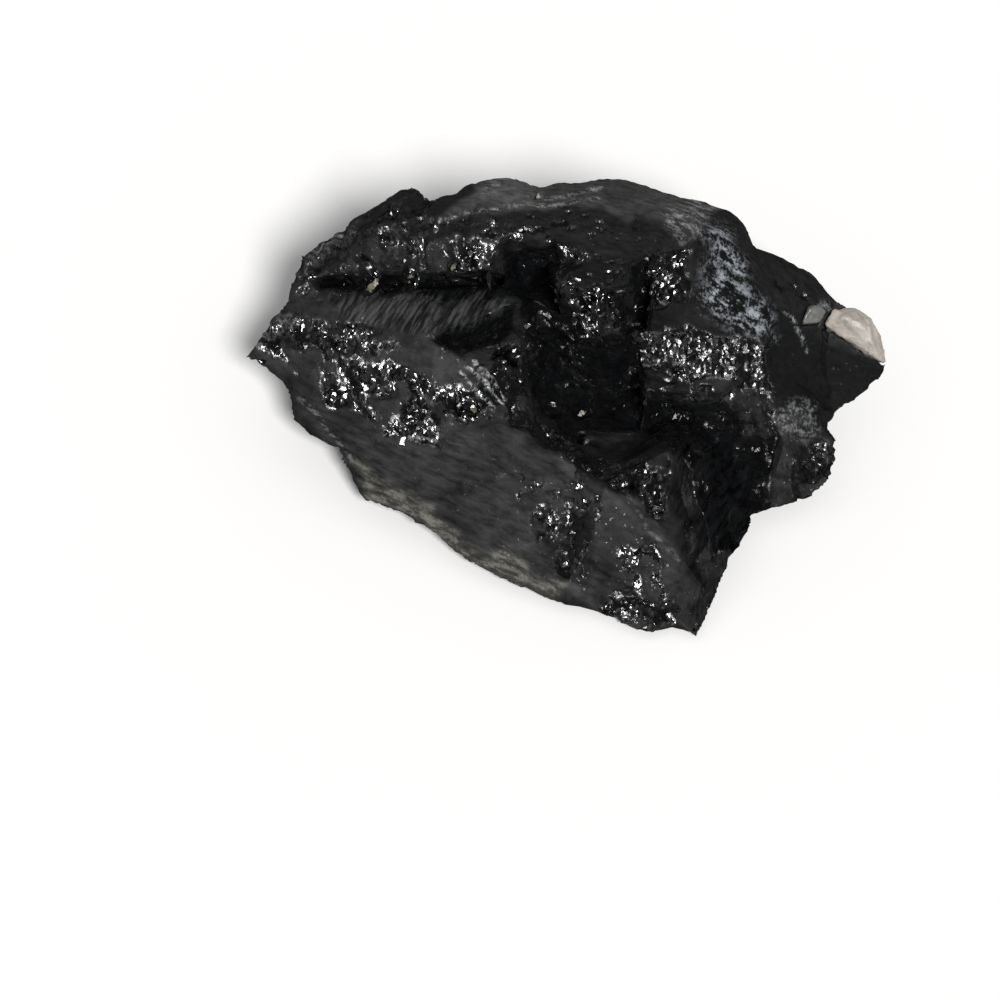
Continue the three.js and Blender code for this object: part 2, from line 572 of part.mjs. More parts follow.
addPiece('tourmaline', geometryOf(tourmaline), COLOURS.tourmaline);
for (const { name, corners, look } of pieces) addPiece(name, new ConvexGeometry(corners), look);

// The origin is on the foot's plane, under the middle of the specimen's box.
const box = new THREE.Box3().setFromObject(group);
group.position.set(-(box.min.x + box.max.x) / 2, -(box.min.y + box.max.y) / 2, -box.min.z);

export default group;
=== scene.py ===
"""Dresses a rough lump of black tourmaline and its cream feldspar, and sets it on a pale stage."""

import math
from itertools import product

import bpy
import numpy as np
from bpy.props import FloatProperty, FloatVectorProperty, IntProperty, PointerProperty
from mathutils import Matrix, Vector


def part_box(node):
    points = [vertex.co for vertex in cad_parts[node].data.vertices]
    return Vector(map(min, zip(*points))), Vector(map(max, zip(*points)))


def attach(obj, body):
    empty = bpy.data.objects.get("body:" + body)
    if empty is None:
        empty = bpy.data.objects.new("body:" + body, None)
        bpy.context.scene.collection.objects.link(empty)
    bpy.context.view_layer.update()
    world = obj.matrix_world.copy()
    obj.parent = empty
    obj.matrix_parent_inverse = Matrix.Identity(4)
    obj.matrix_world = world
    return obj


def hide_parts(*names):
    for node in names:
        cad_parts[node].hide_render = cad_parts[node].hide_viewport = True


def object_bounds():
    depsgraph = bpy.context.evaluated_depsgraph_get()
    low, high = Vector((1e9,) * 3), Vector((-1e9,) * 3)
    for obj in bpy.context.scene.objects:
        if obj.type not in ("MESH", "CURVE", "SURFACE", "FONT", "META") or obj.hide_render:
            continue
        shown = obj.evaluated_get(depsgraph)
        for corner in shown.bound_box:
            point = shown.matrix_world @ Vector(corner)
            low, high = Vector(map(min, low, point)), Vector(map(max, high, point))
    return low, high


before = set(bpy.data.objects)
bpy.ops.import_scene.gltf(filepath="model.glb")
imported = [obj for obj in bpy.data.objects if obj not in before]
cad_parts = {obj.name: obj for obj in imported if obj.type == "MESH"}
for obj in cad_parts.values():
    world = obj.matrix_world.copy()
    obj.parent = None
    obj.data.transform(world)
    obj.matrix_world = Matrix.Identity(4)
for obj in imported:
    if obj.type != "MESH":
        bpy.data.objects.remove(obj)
CAD_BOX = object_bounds()

bl_info = {
    "name": "Black Tourmaline Specimen",
    "version": (1, 0, 0),
    "blender": (4, 5, 0),
    "location": "3D View > Sidebar > Specimen",
    "description": "Builds the broken skin, sparkling chips and feldspar of a tourmaline lump",
    "category": "Add Mesh",
}

MM = 0.001

# ---- The line of sight that places are given along: column to the right, row downwards ----

SIGHT_TILT = math.radians(50)  # how steeply it looks down
SIGHT_DISTANCE = 700 * MM  # from the eye to the middle of the sight
SIGHT_MIDDLE = 500  # column and row of that middle
SIGHT_SPAN = 1000  # columns, and rows, in the whole view
STEPS_PER_METRE = 6000  # columns or rows in a metre at that distance
SIGHT_ANCHOR = (565, 407)  # column and row of the anchor point
ANCHOR_POINT = np.array([-0.4877, -3.5859, 20]) * MM

SIGHT_FORWARD = np.array([0, math.cos(SIGHT_TILT), -math.sin(SIGHT_TILT)])
SIGHT_UP = np.array([0, math.sin(SIGHT_TILT), math.cos(SIGHT_TILT)])
SIGHT_RIGHT = np.array([1.0, 0, 0])
EYE = (
    ANCHOR_POINT
    + SIGHT_RIGHT * (SIGHT_MIDDLE - SIGHT_ANCHOR[0]) / STEPS_PER_METRE
    + SIGHT_UP * (SIGHT_ANCHOR[1] - SIGHT_MIDDLE) / STEPS_PER_METRE
    - SIGHT_FORWARD * SIGHT_DISTANCE
)
CLEAVAGE = np.array([0.10, -0.67, 0.735])  # the direction that most broken facets face
AWAY_SIDE = np.array([0.62, -0.25, 0.74])  # the direction that the darker facets face

# ---- Where each kind of surface is, as loops of (column, row) ----

SLAB = [(290, 384), (330, 404), (402, 440), (466, 436), (500, 424), (545, 450), (578, 472), (640, 516),
        (668, 520), (690, 600), (694, 632), (600, 610), (500, 584), (440, 544), (362, 498), (337, 452),
        (296, 421)]
LEDGE = [(325, 293), (500, 290), (506, 306), (470, 330), (435, 334), (345, 322)]
LEFT_SLOPE = [(292, 290), (274, 256), (318, 222), (376, 188), (416, 174), (440, 222), (505, 245),
              (512, 282), (430, 282), (345, 272)]
BAND_CORNER = [(730, 405), (772, 400), (772, 440), (740, 440)]
LOBE_EDGE = [(790, 440), (822, 438), (824, 462), (816, 486), (796, 484)]
ZONES = {
    "slab": [SLAB],
    "striated": [LEDGE],
    "columns": [[(662, 452), (690, 436), (752, 470), (752, 530), (730, 580), (700, 636), (690, 600),
                 (676, 520)]],
    "warm": [[(350, 456), (384, 472), (430, 506), (474, 540), (522, 567), (566, 588), (556, 606),
              (500, 584), (440, 544), (372, 500)]],
    "frosted": [[(770, 400), (814, 401), (820, 428), (800, 440), (774, 434)]],
    "band": [[(636, 331), (768, 336), (770, 394), (742, 386), (700, 376), (638, 370)]],
    # The sheen patch: scooped relief with a bluish sheen painted into its colour.
    "sheen": [
        [(700, 228), (720, 224), (736, 252), (750, 284), (742, 300), (716, 262)],
        [(712, 262), (746, 284), (770, 318), (770, 338), (740, 328), (714, 314), (704, 296)],
    ],
    "pale": [
        [(480, 184), (512, 180), (500, 190), (484, 196)],
        [(664, 206), (716, 200), (704, 226), (676, 238)],
        [(308, 248), (340, 230), (352, 234), (314, 256)],
        [(252, 348), (284, 312), (294, 316), (262, 352)],
        [(808, 306), (822, 304), (830, 316), (812, 322)],
    ],
    "granular": [
        [(246, 336), (300, 318), (372, 326), (420, 336), (508, 330), (530, 345), (534, 436),
         (500, 421), (466, 432), (436, 447), (402, 438), (360, 416), (318, 400), (262, 366)],
        LEFT_SLOPE,
        [(545, 285), (640, 290), (655, 245), (696, 246), (694, 300), (644, 306), (634, 346), (560, 346)],
        [(636, 331), (768, 336), (770, 400), (736, 392), (700, 382), (640, 378)],
        BAND_CORNER,
        [(532, 418), (560, 422), (584, 434), (612, 456), (668, 462), (668, 518), (604, 486), (560, 456)],
        [(598, 606), (640, 596), (672, 600), (678, 634), (640, 632), (612, 624)],
        [(532, 506), (556, 508), (566, 532), (574, 560), (566, 584), (546, 548)],
        LOBE_EDGE,
    ],
    "calm": [  # flat places inside the granular ones
        [(382, 328), (430, 334), (456, 350), (468, 380), (440, 390), (402, 366), (384, 346)],
        [(284, 340), (300, 348), (312, 372), (300, 384), (284, 366)],
        [(318, 318), (334, 318), (336, 326), (320, 327)],
        [(362, 396), (402, 392), (408, 408), (372, 412)],
        [(330, 352), (352, 354), (346, 366), (330, 362)],
        [(664, 352), (678, 350), (682, 366), (668, 370)],
        [(746, 424), (766, 428), (762, 448), (744, 444)],
        [(234, 340), (262, 322), (266, 338), (264, 352), (290, 366), (292, 386), (240, 374)],
    ],
    "dim": [  # granular places where few facets are fresh
        LEFT_SLOPE,
        BAND_CORNER,
        LOBE_EDGE,
        [(530, 500), (556, 504), (596, 516), (596, 592), (566, 590), (542, 552)],
    ],
    "sparse": [  # smooth places with a few small facets
        [(618, 540), (658, 540), (668, 600), (612, 600)],
        [(500, 470), (600, 490), (612, 520), (560, 512), (500, 494)],
        [(640, 385), (760, 392), (764, 430), (700, 420), (644, 405)],
        [(500, 240), (560, 246), (640, 262), (640, 290), (548, 284), (505, 280)],
        [(775, 280), (800, 282), (806, 304), (784, 304)],
        [(556, 508), (592, 520), (592, 588), (566, 584)],
        [(296, 284), (345, 262), (400, 268), (345, 292), (300, 310)],
        [(430, 226), (500, 218), (640, 216), (655, 240), (560, 248), (500, 242), (440, 242)],
    ],
    "hollow": [  # deep, and darkened with painted shade
        [(515, 286), (560, 284), (590, 340), (640, 340), (646, 398), (690, 400), (760, 410), (752, 500),
         (700, 472), (660, 436), (600, 432), (560, 424), (532, 392), (528, 340)],
        [(505, 243), (560, 246), (548, 284), (512, 286)],
        [(318, 272), (500, 269), (545, 290), (530, 300), (318, 290)],
        [(444, 338), (480, 312), (512, 308), (506, 345), (450, 352)],
        [(634, 262), (652, 250), (650, 330), (634, 342)],
        [(696, 436), (770, 440), (764, 512), (750, 545), (712, 560), (700, 500)],
    ],
    "bright": [  # the most sparkling places
        [(274, 340), (284, 338), (286, 350), (278, 352)],
        [(300, 322), (340, 318), (370, 332), (368, 357), (330, 352), (302, 344)],
        [(338, 358), (392, 362), (396, 392), (372, 398), (344, 388)],
        [(400, 404), (438, 396), (442, 441), (408, 441)],
        [(384, 340), (404, 342), (404, 350), (384, 348)],
        [(453, 398), (482, 398), (482, 418), (453, 418)],
        [(508, 410), (528, 410), (530, 424), (510, 424)],
        [(455, 240), (482, 240), (482, 266), (455, 266)],
        [(540, 428), (560, 430), (570, 448), (552, 450)],
        [(592, 456), (616, 466), (644, 486), (626, 488)],
        [(560, 280), (590, 282), (596, 310), (570, 304)],
        [(592, 306), (640, 314), (636, 344), (604, 336)],
        [(645, 248), (690, 248), (688, 290), (654, 286)],
        [(638, 334), (766, 338), (768, 392), (742, 384), (700, 374), (640, 368)],
        [(812, 442), (830, 442), (830, 466), (818, 466)],
        [(622, 608), (644, 606), (644, 620), (626, 618)],
        [(560, 250), (586, 252), (590, 262), (566, 262)],
        [(520, 322), (540, 334), (544, 380), (528, 372)],
    ],
}
DUST_AND_SHADE = [  # the share of the dull grey on smooth faces, inside each loop: it stands for dust, and the lowest shares are painted shade
    (0.85, SLAB),
    (0.8, [(246, 336), (300, 290), (345, 285), (500, 282), (520, 310), (534, 436), (500, 421),
           (436, 447), (360, 416), (262, 366)]),
    (0.9, LEDGE),
    (2.0, [(440, 222), (470, 190), (510, 170), (560, 178), (610, 170), (660, 184), (716, 204),
           (700, 236), (640, 216), (560, 210), (500, 214)]),
    (0.45, [(500, 214), (560, 210), (640, 216), (690, 236), (640, 262), (560, 250), (500, 240)]),
    (0.12, [(636, 296), (704, 290), (712, 334), (640, 340)]),
    (0.3, [(774, 250), (800, 262), (830, 300), (815, 312), (790, 300)]),
    (0.2, [(766, 440), (838, 430), (838, 462), (826, 492), (776, 506)]),
    # the dark ground under the painted sheen
    (0.05, [(700, 224), (724, 222), (774, 318), (768, 340), (716, 330), (700, 296)]),
    (3.3, [(470, 184), (512, 176), (540, 184), (532, 200), (476, 204)]),
    # painted shade on the right face and the crystal
    (0.05, [(765, 310), (810, 330), (826, 345), (890, 366), (872, 400), (826, 430), (770, 400)]),
    (0.35, [(600, 500), (640, 516), (668, 520), (690, 600), (694, 632), (600, 610)]),
    # painted shade in the notch
    (0.2, [(545, 505), (592, 515), (592, 590), (556, 585)]),
]
PALE_LINES = [  # how strong, and the path
    (0.8, [(440, 221), (470, 212), (520, 206), (560, 203), (598, 198)]),
    (0.8, [(540, 198), (576, 194), (600, 188)]),
    (1.8, [(466, 362), (484, 380), (502, 404)]),
    (1.8, [(474, 360), (490, 378), (506, 398)]),
    (1.8, [(462, 372), (480, 394), (494, 410)]),
    (1.2, [(408, 436), (420, 440), (435, 441)]),
    (0.45, [(300, 400), (330, 430), (352, 462)]),
    (0.3, [(620, 486), (650, 530), (680, 560)]),
    (0.8, [(786, 312), (800, 330), (806, 350)]),
]
CRACKS = [
    [(688, 440), (686, 500), (692, 565)],
    [(570, 446), (576, 462), (578, 478)],
    [(768, 405), (774, 440), (766, 470)],
    [(796, 475), (800, 500)],
    [(646, 256), (642, 300), (644, 330)],
    [(826, 330), (824, 372), (827, 420)],
    [(604, 606), (640, 600), (676, 610)],
]


# ---- Settings ----


def a_length(name, description, millimetres):
    """A length that a user may change, given in millimetres."""
    return FloatProperty(name=name, description=description, default=millimetres * MM, unit="LENGTH")


def an_angle(name, description, degrees):
    """An angle that a user may change, given in degrees."""
    turn = math.radians(degrees)
    return FloatProperty(name=name, description=description, default=turn, subtype="ANGLE")


def a_number(name, description, default):
    """A plain number that a user may change."""
    return FloatProperty(name=name, description=description, default=default, min=0)


def a_colour(name, description, default):
    """A colour that a user may change."""
    return FloatVectorProperty(
        name=name, description=description, default=default, subtype="COLOR", min=0, max=1)


class SkinSettings(bpy.types.PropertyGroup):
    """Sizes and colours of the tourmaline skin."""

    seed: IntProperty(name="Seed", description="Seed of every random draw", default=7)
    granular_edge: a_length("Granular Edge", "Longest mesh edge on granular fracture", 0.54)
    striated_edge: a_length("Striated Edge", "Longest mesh edge on the striated faces", 0.4)
    smooth_edge: a_length("Smooth Edge", "Longest mesh edge on smooth faces", 0.75)
    hidden_edge: a_length("Hidden Edge", "Longest mesh edge on the back and the underside", 1.25)
    facet_size: a_length("Facet Size", "Width of the larger fracture facets", 3.0)
    facet_slope: a_number("Facet Slope", "Steepest tilt of a fracture facet, rise over run", 0.36)
    facet_bend: a_number("Facet Bend", "How hollow a fracture facet is", 0.2)
    slab_turn: an_angle("Slab Turn", "How far the slab's streaks turn down to the right", 25)
    streak_height: a_length("Streak Height", "How far the slab's streaks stand out", 0.06)
    striation_pitch: a_length("Striation Pitch", "Distance between two growth ridges", 0.8)
    striation_height: a_length("Striation Height", "How far a growth ridge stands out", 0.14)
    crack_depth: a_length("Crack Depth", "How deep the open cracks are", 1.0)
    # The pits are also darkened in tone and given the deep material: painted shade.
    pit_depth: a_length("Pit Depth", "How deep the small dark pits are", 0.7)
    border_wander: a_length("Border Wander", "How far the border between two surfaces strays", 1.3)
    dusty_gloss: a_number("Dusty Gloss", "Specular level of the smooth, dusty faces", 0.1)
    fresh_gloss: a_number("Fresh Gloss", "Specular level of the fresh fracture", 0.6)
    # A low specular level for the hollows and the pits: painted shade that keeps them dark.
    painted_shade_gloss: a_number("Deep Gloss", "Specular level in the shaded hollows", 0.1)
    black: a_colour("Black", "Colour of clean tourmaline", (0.0034, 0.0036, 0.0040))
    dull: a_colour("Dull Black", "Colour of the smooth dusty faces", (0.0225, 0.0227, 0.023))
    # A bluish sheen, painted into the base colour of the sheen patch in streaks.
    sheen: a_colour("Sheen", "Colour of the bluish frosting", (0.120, 0.130, 0.143))
    warm: a_colour("Warm Grey", "Colour of the dust on the worn lower edge", (0.074, 0.073, 0.065))
    frost: a_colour("Frost", "Colour of the sugary frosting", (0.125, 0.130, 0.130))


class ChipSettings(bpy.types.PropertyGroup):
    """Sizes of the small sparkling chips in the granular fracture."""

    count: IntProperty(name="Count", description="Number of chips", default=1200)
    sides: IntProperty(name="Sides", description="Sides of a chip", default=5)
    size: a_length("Size", "Middle width of a chip", 0.75)
    tilt: an_angle("Tilt", "Steepest tilt of a chip's face", 24)
    lean: a_number("Lean", "How far the chips turn towards their common cleavage direction", 0.45)


class FeldsparSettings(bpy.types.PropertyGroup):
    """Sizes and colours of the feldspar."""

    edge: a_length("Edge", "Longest mesh edge", 0.4)
    swell: a_length("Swell", "How far it fills the gap round its seat", 0.32)
    flatness: a_number("Flatness", "How far the small grains are worn flat", 0.35)
    relief: a_length("Relief", "Height of its waxy lumps", 0.24)
    cream: a_colour("Cream", "Colour of the feldspar", (0.465, 0.438, 0.413))
    grain: a_colour("Grain", "Colour of the small grains", (0.19, 0.18, 0.135))
    frosty: a_colour("Frosty", "Colour of the frosty sliver", (0.15, 0.152, 0.15))


class StageSettings(bpy.types.PropertyGroup):
    """Floor, lights and camera."""

    floor_size: a_length("Floor Size", "Width of the floor", 6000)
    key_strength: a_number("Key Strength", "Strength of the key light, in watts for a square metre", 3.62)
    key_spread: an_angle("Key Spread", "How wide the key light looks from the specimen", 14)
    key_turn: an_angle("Key Turn", "How far to the right of the front the key light stands", 15)
    key_height: an_angle("Key Height", "How far above the floor the key light stands", 43.6)
    sky: a_number("Sky", "Brightness of the surroundings, as light", 0.34)
    mirrored_sky: a_number("Mirrored Sky", "Their brightness overhead, in reflections", 0.13)
    mirrored_slant: a_number("Mirrored Slant", "How much brighter they look to the left, there", 0.2)
    glow: a_number("Glow", "Brightness round the key light, in reflections", 0.65)


# ---- Numbers that belong to places ----

HASH_PRIMES = np.array([0x8DA6B343, 0xD8163841, 0xCB1AB31F], np.uint32)
HASH_ROUNDS = ((15, 0x2C1B3C6D), (12, 0x297A2D39))  # shift and factor
HASH_SHIFT = np.uint32(15)
SALT_STEP = 0x9E3779B1


def hashed(cells, salt):
    """A number from 0 to 1 for each whole-number cell: its indices times large primes, mixed by
    shifts and multiplications."""
    scaled = cells.astype(np.int64).astype(np.uint32) * HASH_PRIMES
    mixed = np.bitwise_xor.reduce(scaled, axis=-1) ^ np.uint32((salt * SALT_STEP) & 0xFFFFFFFF)
    for shift, factor in HASH_ROUNDS:
        mixed = (mixed ^ (mixed >> np.uint32(shift))) * np.uint32(factor)
    return (mixed ^ (mixed >> HASH_SHIFT)) / 2.0**32


def lump_noise(points, size, salt):
    """Smooth noise from -1 to 1: the hashed values of the eight corners of each point's cell,
    mixed by the eased distance to each corner."""
    place = points / size
    cell = np.floor(place)
    share = place - cell
    share = share * share * (3 - 2 * share)
    total = np.zeros(len(points))
    for corner in product((0, 1), repeat=3):
        weight = np.prod(np.where(corner, share, 1 - share), axis=1)
        total += weight * hashed(cell + corner, salt)
    return 2 * total - 1


def layered_noise(points, size, salt, layers):
    """The sum of ever finer smooth noise, each layer half as wide and half as strong."""
    return sum(lump_noise(points, size / 2**i, salt + i) / 2**i for i in range(layers))


def past(values, start, steepness):
    """From 0 to 1: the steepness times how far the values are past the start."""
    return np.clip(steepness * (values - start), 0, 1)


def scoop_height(points, size, slope, bend, salt):
    """Height of shallow scoops with sharp ridges between them. Seeds are scattered one to a
    cell, and each has a bowl: its tilt times the way from it, plus the bend times the square of
    that way over the size. The surface is the lowest bowl at each point."""
    cell = np.floor(points / size)
    height = np.full(len(points), np.inf)
    for step in product((-1, 0, 1), repeat=3):
        around = cell + step
        scatter = np.stack([hashed(around, salt + i) for i in range(3)], axis=1)
        tilt = np.stack([2 * hashed(around, salt + 3 + i) - 1 for i in range(3)], axis=1)
        away = points - (around + scatter) * size
        bowl = slope * (tilt * away).sum(axis=1) + bend / size * (away * away).sum(axis=1)
        height = np.minimum(height, bowl)
    return height


# ---- Places seen along the sight ----


def seen_at(points):
    """Column and row of each point: how far right and down it is, over its distance."""
    from_eye = points - EYE
    scale = STEPS_PER_METRE * SIGHT_DISTANCE / (from_eye @ SIGHT_FORWARD)
    column = SIGHT_MIDDLE + (from_eye @ SIGHT_RIGHT) * scale
    row = SIGHT_MIDDLE - (from_eye @ SIGHT_UP) * scale
    return np.stack([column, row], axis=1)


def distance_to_path(seen, path):
    """Distance of each seen place from the nearest stretch of a path of corners."""
    nearest = np.full(len(seen), np.inf)
    for start, end in zip(path, path[1:]):
        start, run = np.array(start, float), np.subtract(end, start)
        share = np.clip((seen - start) @ run / (run @ run), 0, 1)
        away = np.linalg.norm(seen - start - share[:, None] * run, axis=1)
        nearest = np.minimum(nearest, away)
    return nearest


def inside_loop(seen, loop):
    """True where a seen place is inside a closed loop: a line across it meets it an odd number
    of times to one side."""
    inside = np.zeros(len(seen), bool)
    for (x1, y1), (x2, y2) in zip(loop, loop[1:] + loop[:1]):
        crosses = (y1 > seen[:, 1]) != (y2 > seen[:, 1])
        rise = (y2 - y1) or 1
        inside ^= crosses & (seen[:, 0] < (x2 - x1) * (seen[:, 1] - y1) / rise + x1)
    return inside


def zone_weight(seen, loops, soft):
    """From 0 outside the loops to 1 inside, eased over the soft width on both sides."""
    weight = np.zeros(len(seen))
    for loop in loops:
        away = distance_to_path(seen, loop + loop[:1])
        signed = np.where(inside_loop(seen, loop), away, -away)
        share = np.clip(0.5 + signed / (2 * soft), 0, 1)
        weight = np.maximum(weight, share * share * (3 - 2 * share))
    return weight


# ---- Triangle meshes as arrays ----

WELD = 0.001 * MM  # points closer than this are one
SHORTEST_VECTOR = 1e-20  # keeps a vector of no length from a division by zero


def merged_mesh(node):
    """Points and triangles of a CAD node, with the points that touch made one."""
    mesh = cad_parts[node].data
    places = np.empty(len(mesh.vertices) * 3)
    mesh.vertices.foreach_get("co", places)
    mesh.calc_loop_triangles()
    corners = np.empty(len(mesh.loop_triangles) * 3, np.int64)
    mesh.loop_triangles.foreach_get("vertices", corners)
    places = places.reshape(-1, 3)
    rounded = np.round(places / WELD).astype(np.int64)
    _, first, number = np.unique(rounded, axis=0, return_index=True, return_inverse=True)
    faces = number.reshape(-1)[corners].reshape(-1, 3)
    whole = (faces != np.roll(faces, 1, axis=1)).all(axis=1)
    return places[first], faces[whole]


def face_normals(points, faces):
    """Each triangle's normal, as long as twice its area."""
    a, b, c = (points[faces[:, i]] for i in range(3))
    return np.cross(b - a, c - a)


def unit(vectors):
    """The vectors at length one."""
    return vectors / np.maximum(np.linalg.norm(vectors, axis=-1, keepdims=True), SHORTEST_VECTOR)


def point_normals(points, faces):
    """The normal at each point: the sum of its triangles' normals, larger ones counting more."""
    normals = face_normals(points, faces)
    total = [
        sum(np.bincount(faces[:, i], normals[:, axis], len(points)) for i in range(3))
        for axis in range(3)
    ]
    return unit(np.stack(total, axis=1))


def edge_table(faces):
    """Every edge once, and the number of the edge from each corner to the next."""
    ends = np.stack([faces, np.roll(faces, -1, axis=1)], axis=2).reshape(-1, 2)
    edges, number = np.unique(np.sort(ends, axis=1), axis=0, return_inverse=True)
    return edges, number.reshape(-1, 3)


def split_long_edges(points, faces, shortest, longest_at, rounds=6):
    """Halves every edge that is longer than its limit, and cuts each triangle by the number of
    its halved edges, until none is left or the rounds are over. No limit is under the
    shortest."""
    for _ in range(rounds):
        edges, sides = edge_table(faces)
        ends = points[edges]
        middles = ends.mean(axis=1)
        length = np.linalg.norm(ends[:, 0] - ends[:, 1], axis=1)
        halved = length > shortest
        halved[halved] = length[halved] > longest_at(points, faces, edges[halved], middles[halved])
        if not halved.any():
            break
        new_point = np.full(len(edges), -1)
        new_point[halved] = len(points) + np.arange(halved.sum())
        points = np.vstack([points, middles[halved]])
        faces = cut_faces(faces, new_point[sides])
    return points, faces


def cut_faces(faces, cuts):
    """Each triangle cut at the new points of its edges (-1 where there is none) into one to
    four triangles."""
    count = (cuts >= 0).sum(axis=1)
    made = [faces[count == 0]]
    one = count == 1
    turn = np.argmax(cuts[one] >= 0, axis=1)
    (a, b, c), (m, _, _) = turned(faces[one], turn), turned(cuts[one], turn)
    made += [np.stack(t, axis=1) for t in ((a, m, c), (m, b, c))]
    two = count == 2
    turn = (np.argmax(cuts[two] < 0, axis=1) + 1) % 3
    (a, b, c), (m, n, _) = turned(faces[two], turn), turned(cuts[two], turn)
    made += [np.stack(t, axis=1) for t in ((m, b, n), (a, m, n), (a, n, c))]
    three = count == 3
    (a, b, c), (m, n, o) = faces[three].T, cuts[three].T
    made += [np.stack(t, axis=1) for t in ((a, m, o), (m, b, n), (o, n, c), (m, n, o))]
    return np.vstack(made)


def turned(rows, turn):
    """The three columns of each row, started from the given column."""
    pick = (turn[:, None] + np.arange(3)) % 3
    return np.take_along_axis(rows, pick, axis=1).T


def sharp_points(points, faces, angle):
    """True at each point on an edge that turns by more than the angle."""
    edges, sides = edge_table(faces)
    normals = unit(face_normals(points, faces))
    order = np.argsort(sides.reshape(-1), kind="stable")
    owners = (order // 3).reshape(-1, 2)
    turn = np.einsum("ij,ij->i", normals[owners[:, 0]], normals[owners[:, 1]])
    sharp = np.zeros(len(points), bool)
    sharp[edges[turn < math.cos(angle)].reshape(-1)] = True
    return sharp


def relaxed(points, faces, strength, rounds):
    """Moves each point towards the mean of its neighbours by its own strength, again and
    again."""
    edges, _ = edge_table(faces)
    number = len(points)
    both = np.vstack([edges, edges[:, ::-1]])
    count = np.bincount(both[:, 0], minlength=number)[:, None]
    for _ in range(rounds):
        total = np.stack(
            [np.bincount(both[:, 0], points[both[:, 1], axis], number) for axis in range(3)], axis=1)
        points = points + strength[:, None] * (total / count - points)
    return points


def kept_in_box(points, box):
    """The points held inside a box, given by its lowest and highest corners."""
    lowest, highest = (np.array(corner) for corner in box)
    return np.clip(points, lowest, highest)


def mesh_object(name, points, faces, materials, sharp_angle=None, slots=None):
    """A mesh object at the origin, smooth but for the edges that turn by more than an angle. The
    slots say which of the materials each face has."""
    mesh = bpy.data.meshes.new(name)
    mesh.vertices.add(len(points))
    mesh.loops.add(faces.size)
    mesh.polygons.add(len(faces))
    mesh.vertices.foreach_set("co", points.astype(np.float32).reshape(-1))
    mesh.loops.foreach_set("vertex_index", faces.astype(np.int32).reshape(-1))
    mesh.polygons.foreach_set("loop_start", np.arange(0, faces.size, 3, dtype=np.int32))
    mesh.update(calc_edges=True)
    mesh.validate()
    mesh.polygons.foreach_set("use_smooth", np.full(len(mesh.polygons), sharp_angle is not None))
    if sharp_angle is not None:
        mesh.set_sharp_from_angle(angle=sharp_angle)
    for material in materials:
        mesh.materials.append(material)
    if slots is not None:
        mesh.polygons.foreach_set("material_index", slots.astype(np.int32))
    piece = bpy.data.objects.new(name, mesh)
    bpy.context.scene.collection.objects.link(piece)
    return piece


def add_attribute(piece, name, values):
    """A number, or a colour of three numbers, kept at each point of a piece."""
    if values.ndim == 1:
        attribute = piece.data.attributes.new(name, "FLOAT", "POINT")
        attribute.data.foreach_set("value", values.astype(np.float32))
    else:
        attribute = piece.data.attributes.new(name, "FLOAT_COLOR", "POINT")
        colour = np.hstack([values, np.ones((len(values), 1))])
        attribute.data.foreach_set("color", colour.astype(np.float32).reshape(-1))


# ---- Materials ----

NUMBER = "NodeSocketFloat"
VECTOR = "NodeSocketVector"
LOOKS = ("tone", "frosting_and_sheen", "flow", "dullness", "glitter", "gleam", "specks")
FACET_LAYERS = (  # scale, tilt and share of the facets that face away
    (480.0, 0.4, 0.45),
    (1250.0, 0.75, 0.5),
    (2700.0, 0.3, 0.15),
)
LEAST_TILT = 0.01  # of a facet, where nothing glitters
SPECK_SCALE = 3300.0
SPECK_TURN = 1.2  # how far a speck turns towards the cleavage direction
STREAK_LAYERS = (  # turn, scale, stretch, contrast and lift: across the slab, aslant and upright
    (0.5, 900.0, (0.3, 1.0, 1.0), 1.0, 0.0),
    (0.35, 1000.0, (0.45, 1.0, 1.0), 0.6, 0.2),
    (0.43, 1300.0, (1.0, 0.15, 0.15), 1.5, -0.25),
)
STREAK_DETAIL = (5.0, 0.62)  # detail and roughness of the streaks
NOISES = {  # scale, detail and roughness
    "patches": (330.0, 2.0, 0.5),
    "grain": (900.0, 6.0, 0.7),
    "sparks": (2300.0, 5.0, 0.7),
    "mottle": (260.0, 6.0, 0.62),
}
DRAWN_OUT = (1.0, 0.62, 0.62)  # makes the facets longer from front to back and in height
TOURMALINE_IOR = 1.63
FELDSPAR_IOR = 1.53
FELDSPAR_DARKEST = (0.6, 0.56, 0.5)  # of its colour, in the mottling


def new_material(name):
    """An empty node material, its tree and its Principled BSDF."""
    material = bpy.data.materials.new(name)
    material.use_nodes = True
    tree = material.node_tree
    tree.nodes.clear()
    output = tree.nodes.new("ShaderNodeOutputMaterial")
    surface = tree.nodes.new("ShaderNodeBsdfPrincipled")
    tree.links.new(surface.outputs["BSDF"], output.inputs["Surface"])
    return material, tree, surface


def add_node(tree, kind, *ordered, settings=None, **named):
    """The outputs of a new node with its settings, whose inputs, in order or by name, are set to
    a value or linked from a socket."""
    node = tree.nodes.new(kind)
    for key, value in (settings or {}).items():
        setattr(node, key, value)
    for key, value in (*enumerate(ordered), *named.items()):
        if isinstance(value, bpy.types.NodeSocket):
            tree.links.new(value, node.inputs[key])
        else:
            node.inputs[key].default_value = value
    return node.outputs


def math_node(tree, operation, *values, clamp=False):
    """What a Math node makes of its values."""
    settings = {"operation": operation, "use_clamp": clamp}
    return add_node(tree, "ShaderNodeMath", *values, settings=settings)[0]


def vector_node(tree, operation, *values, **named):
    """What a Vector Math node makes of its values: a number from a dot product."""
    made = add_node(tree, "ShaderNodeVectorMath", *values, settings={"operation": operation}, **named)
    return made["Value" if operation == "DOT_PRODUCT" else "Vector"]


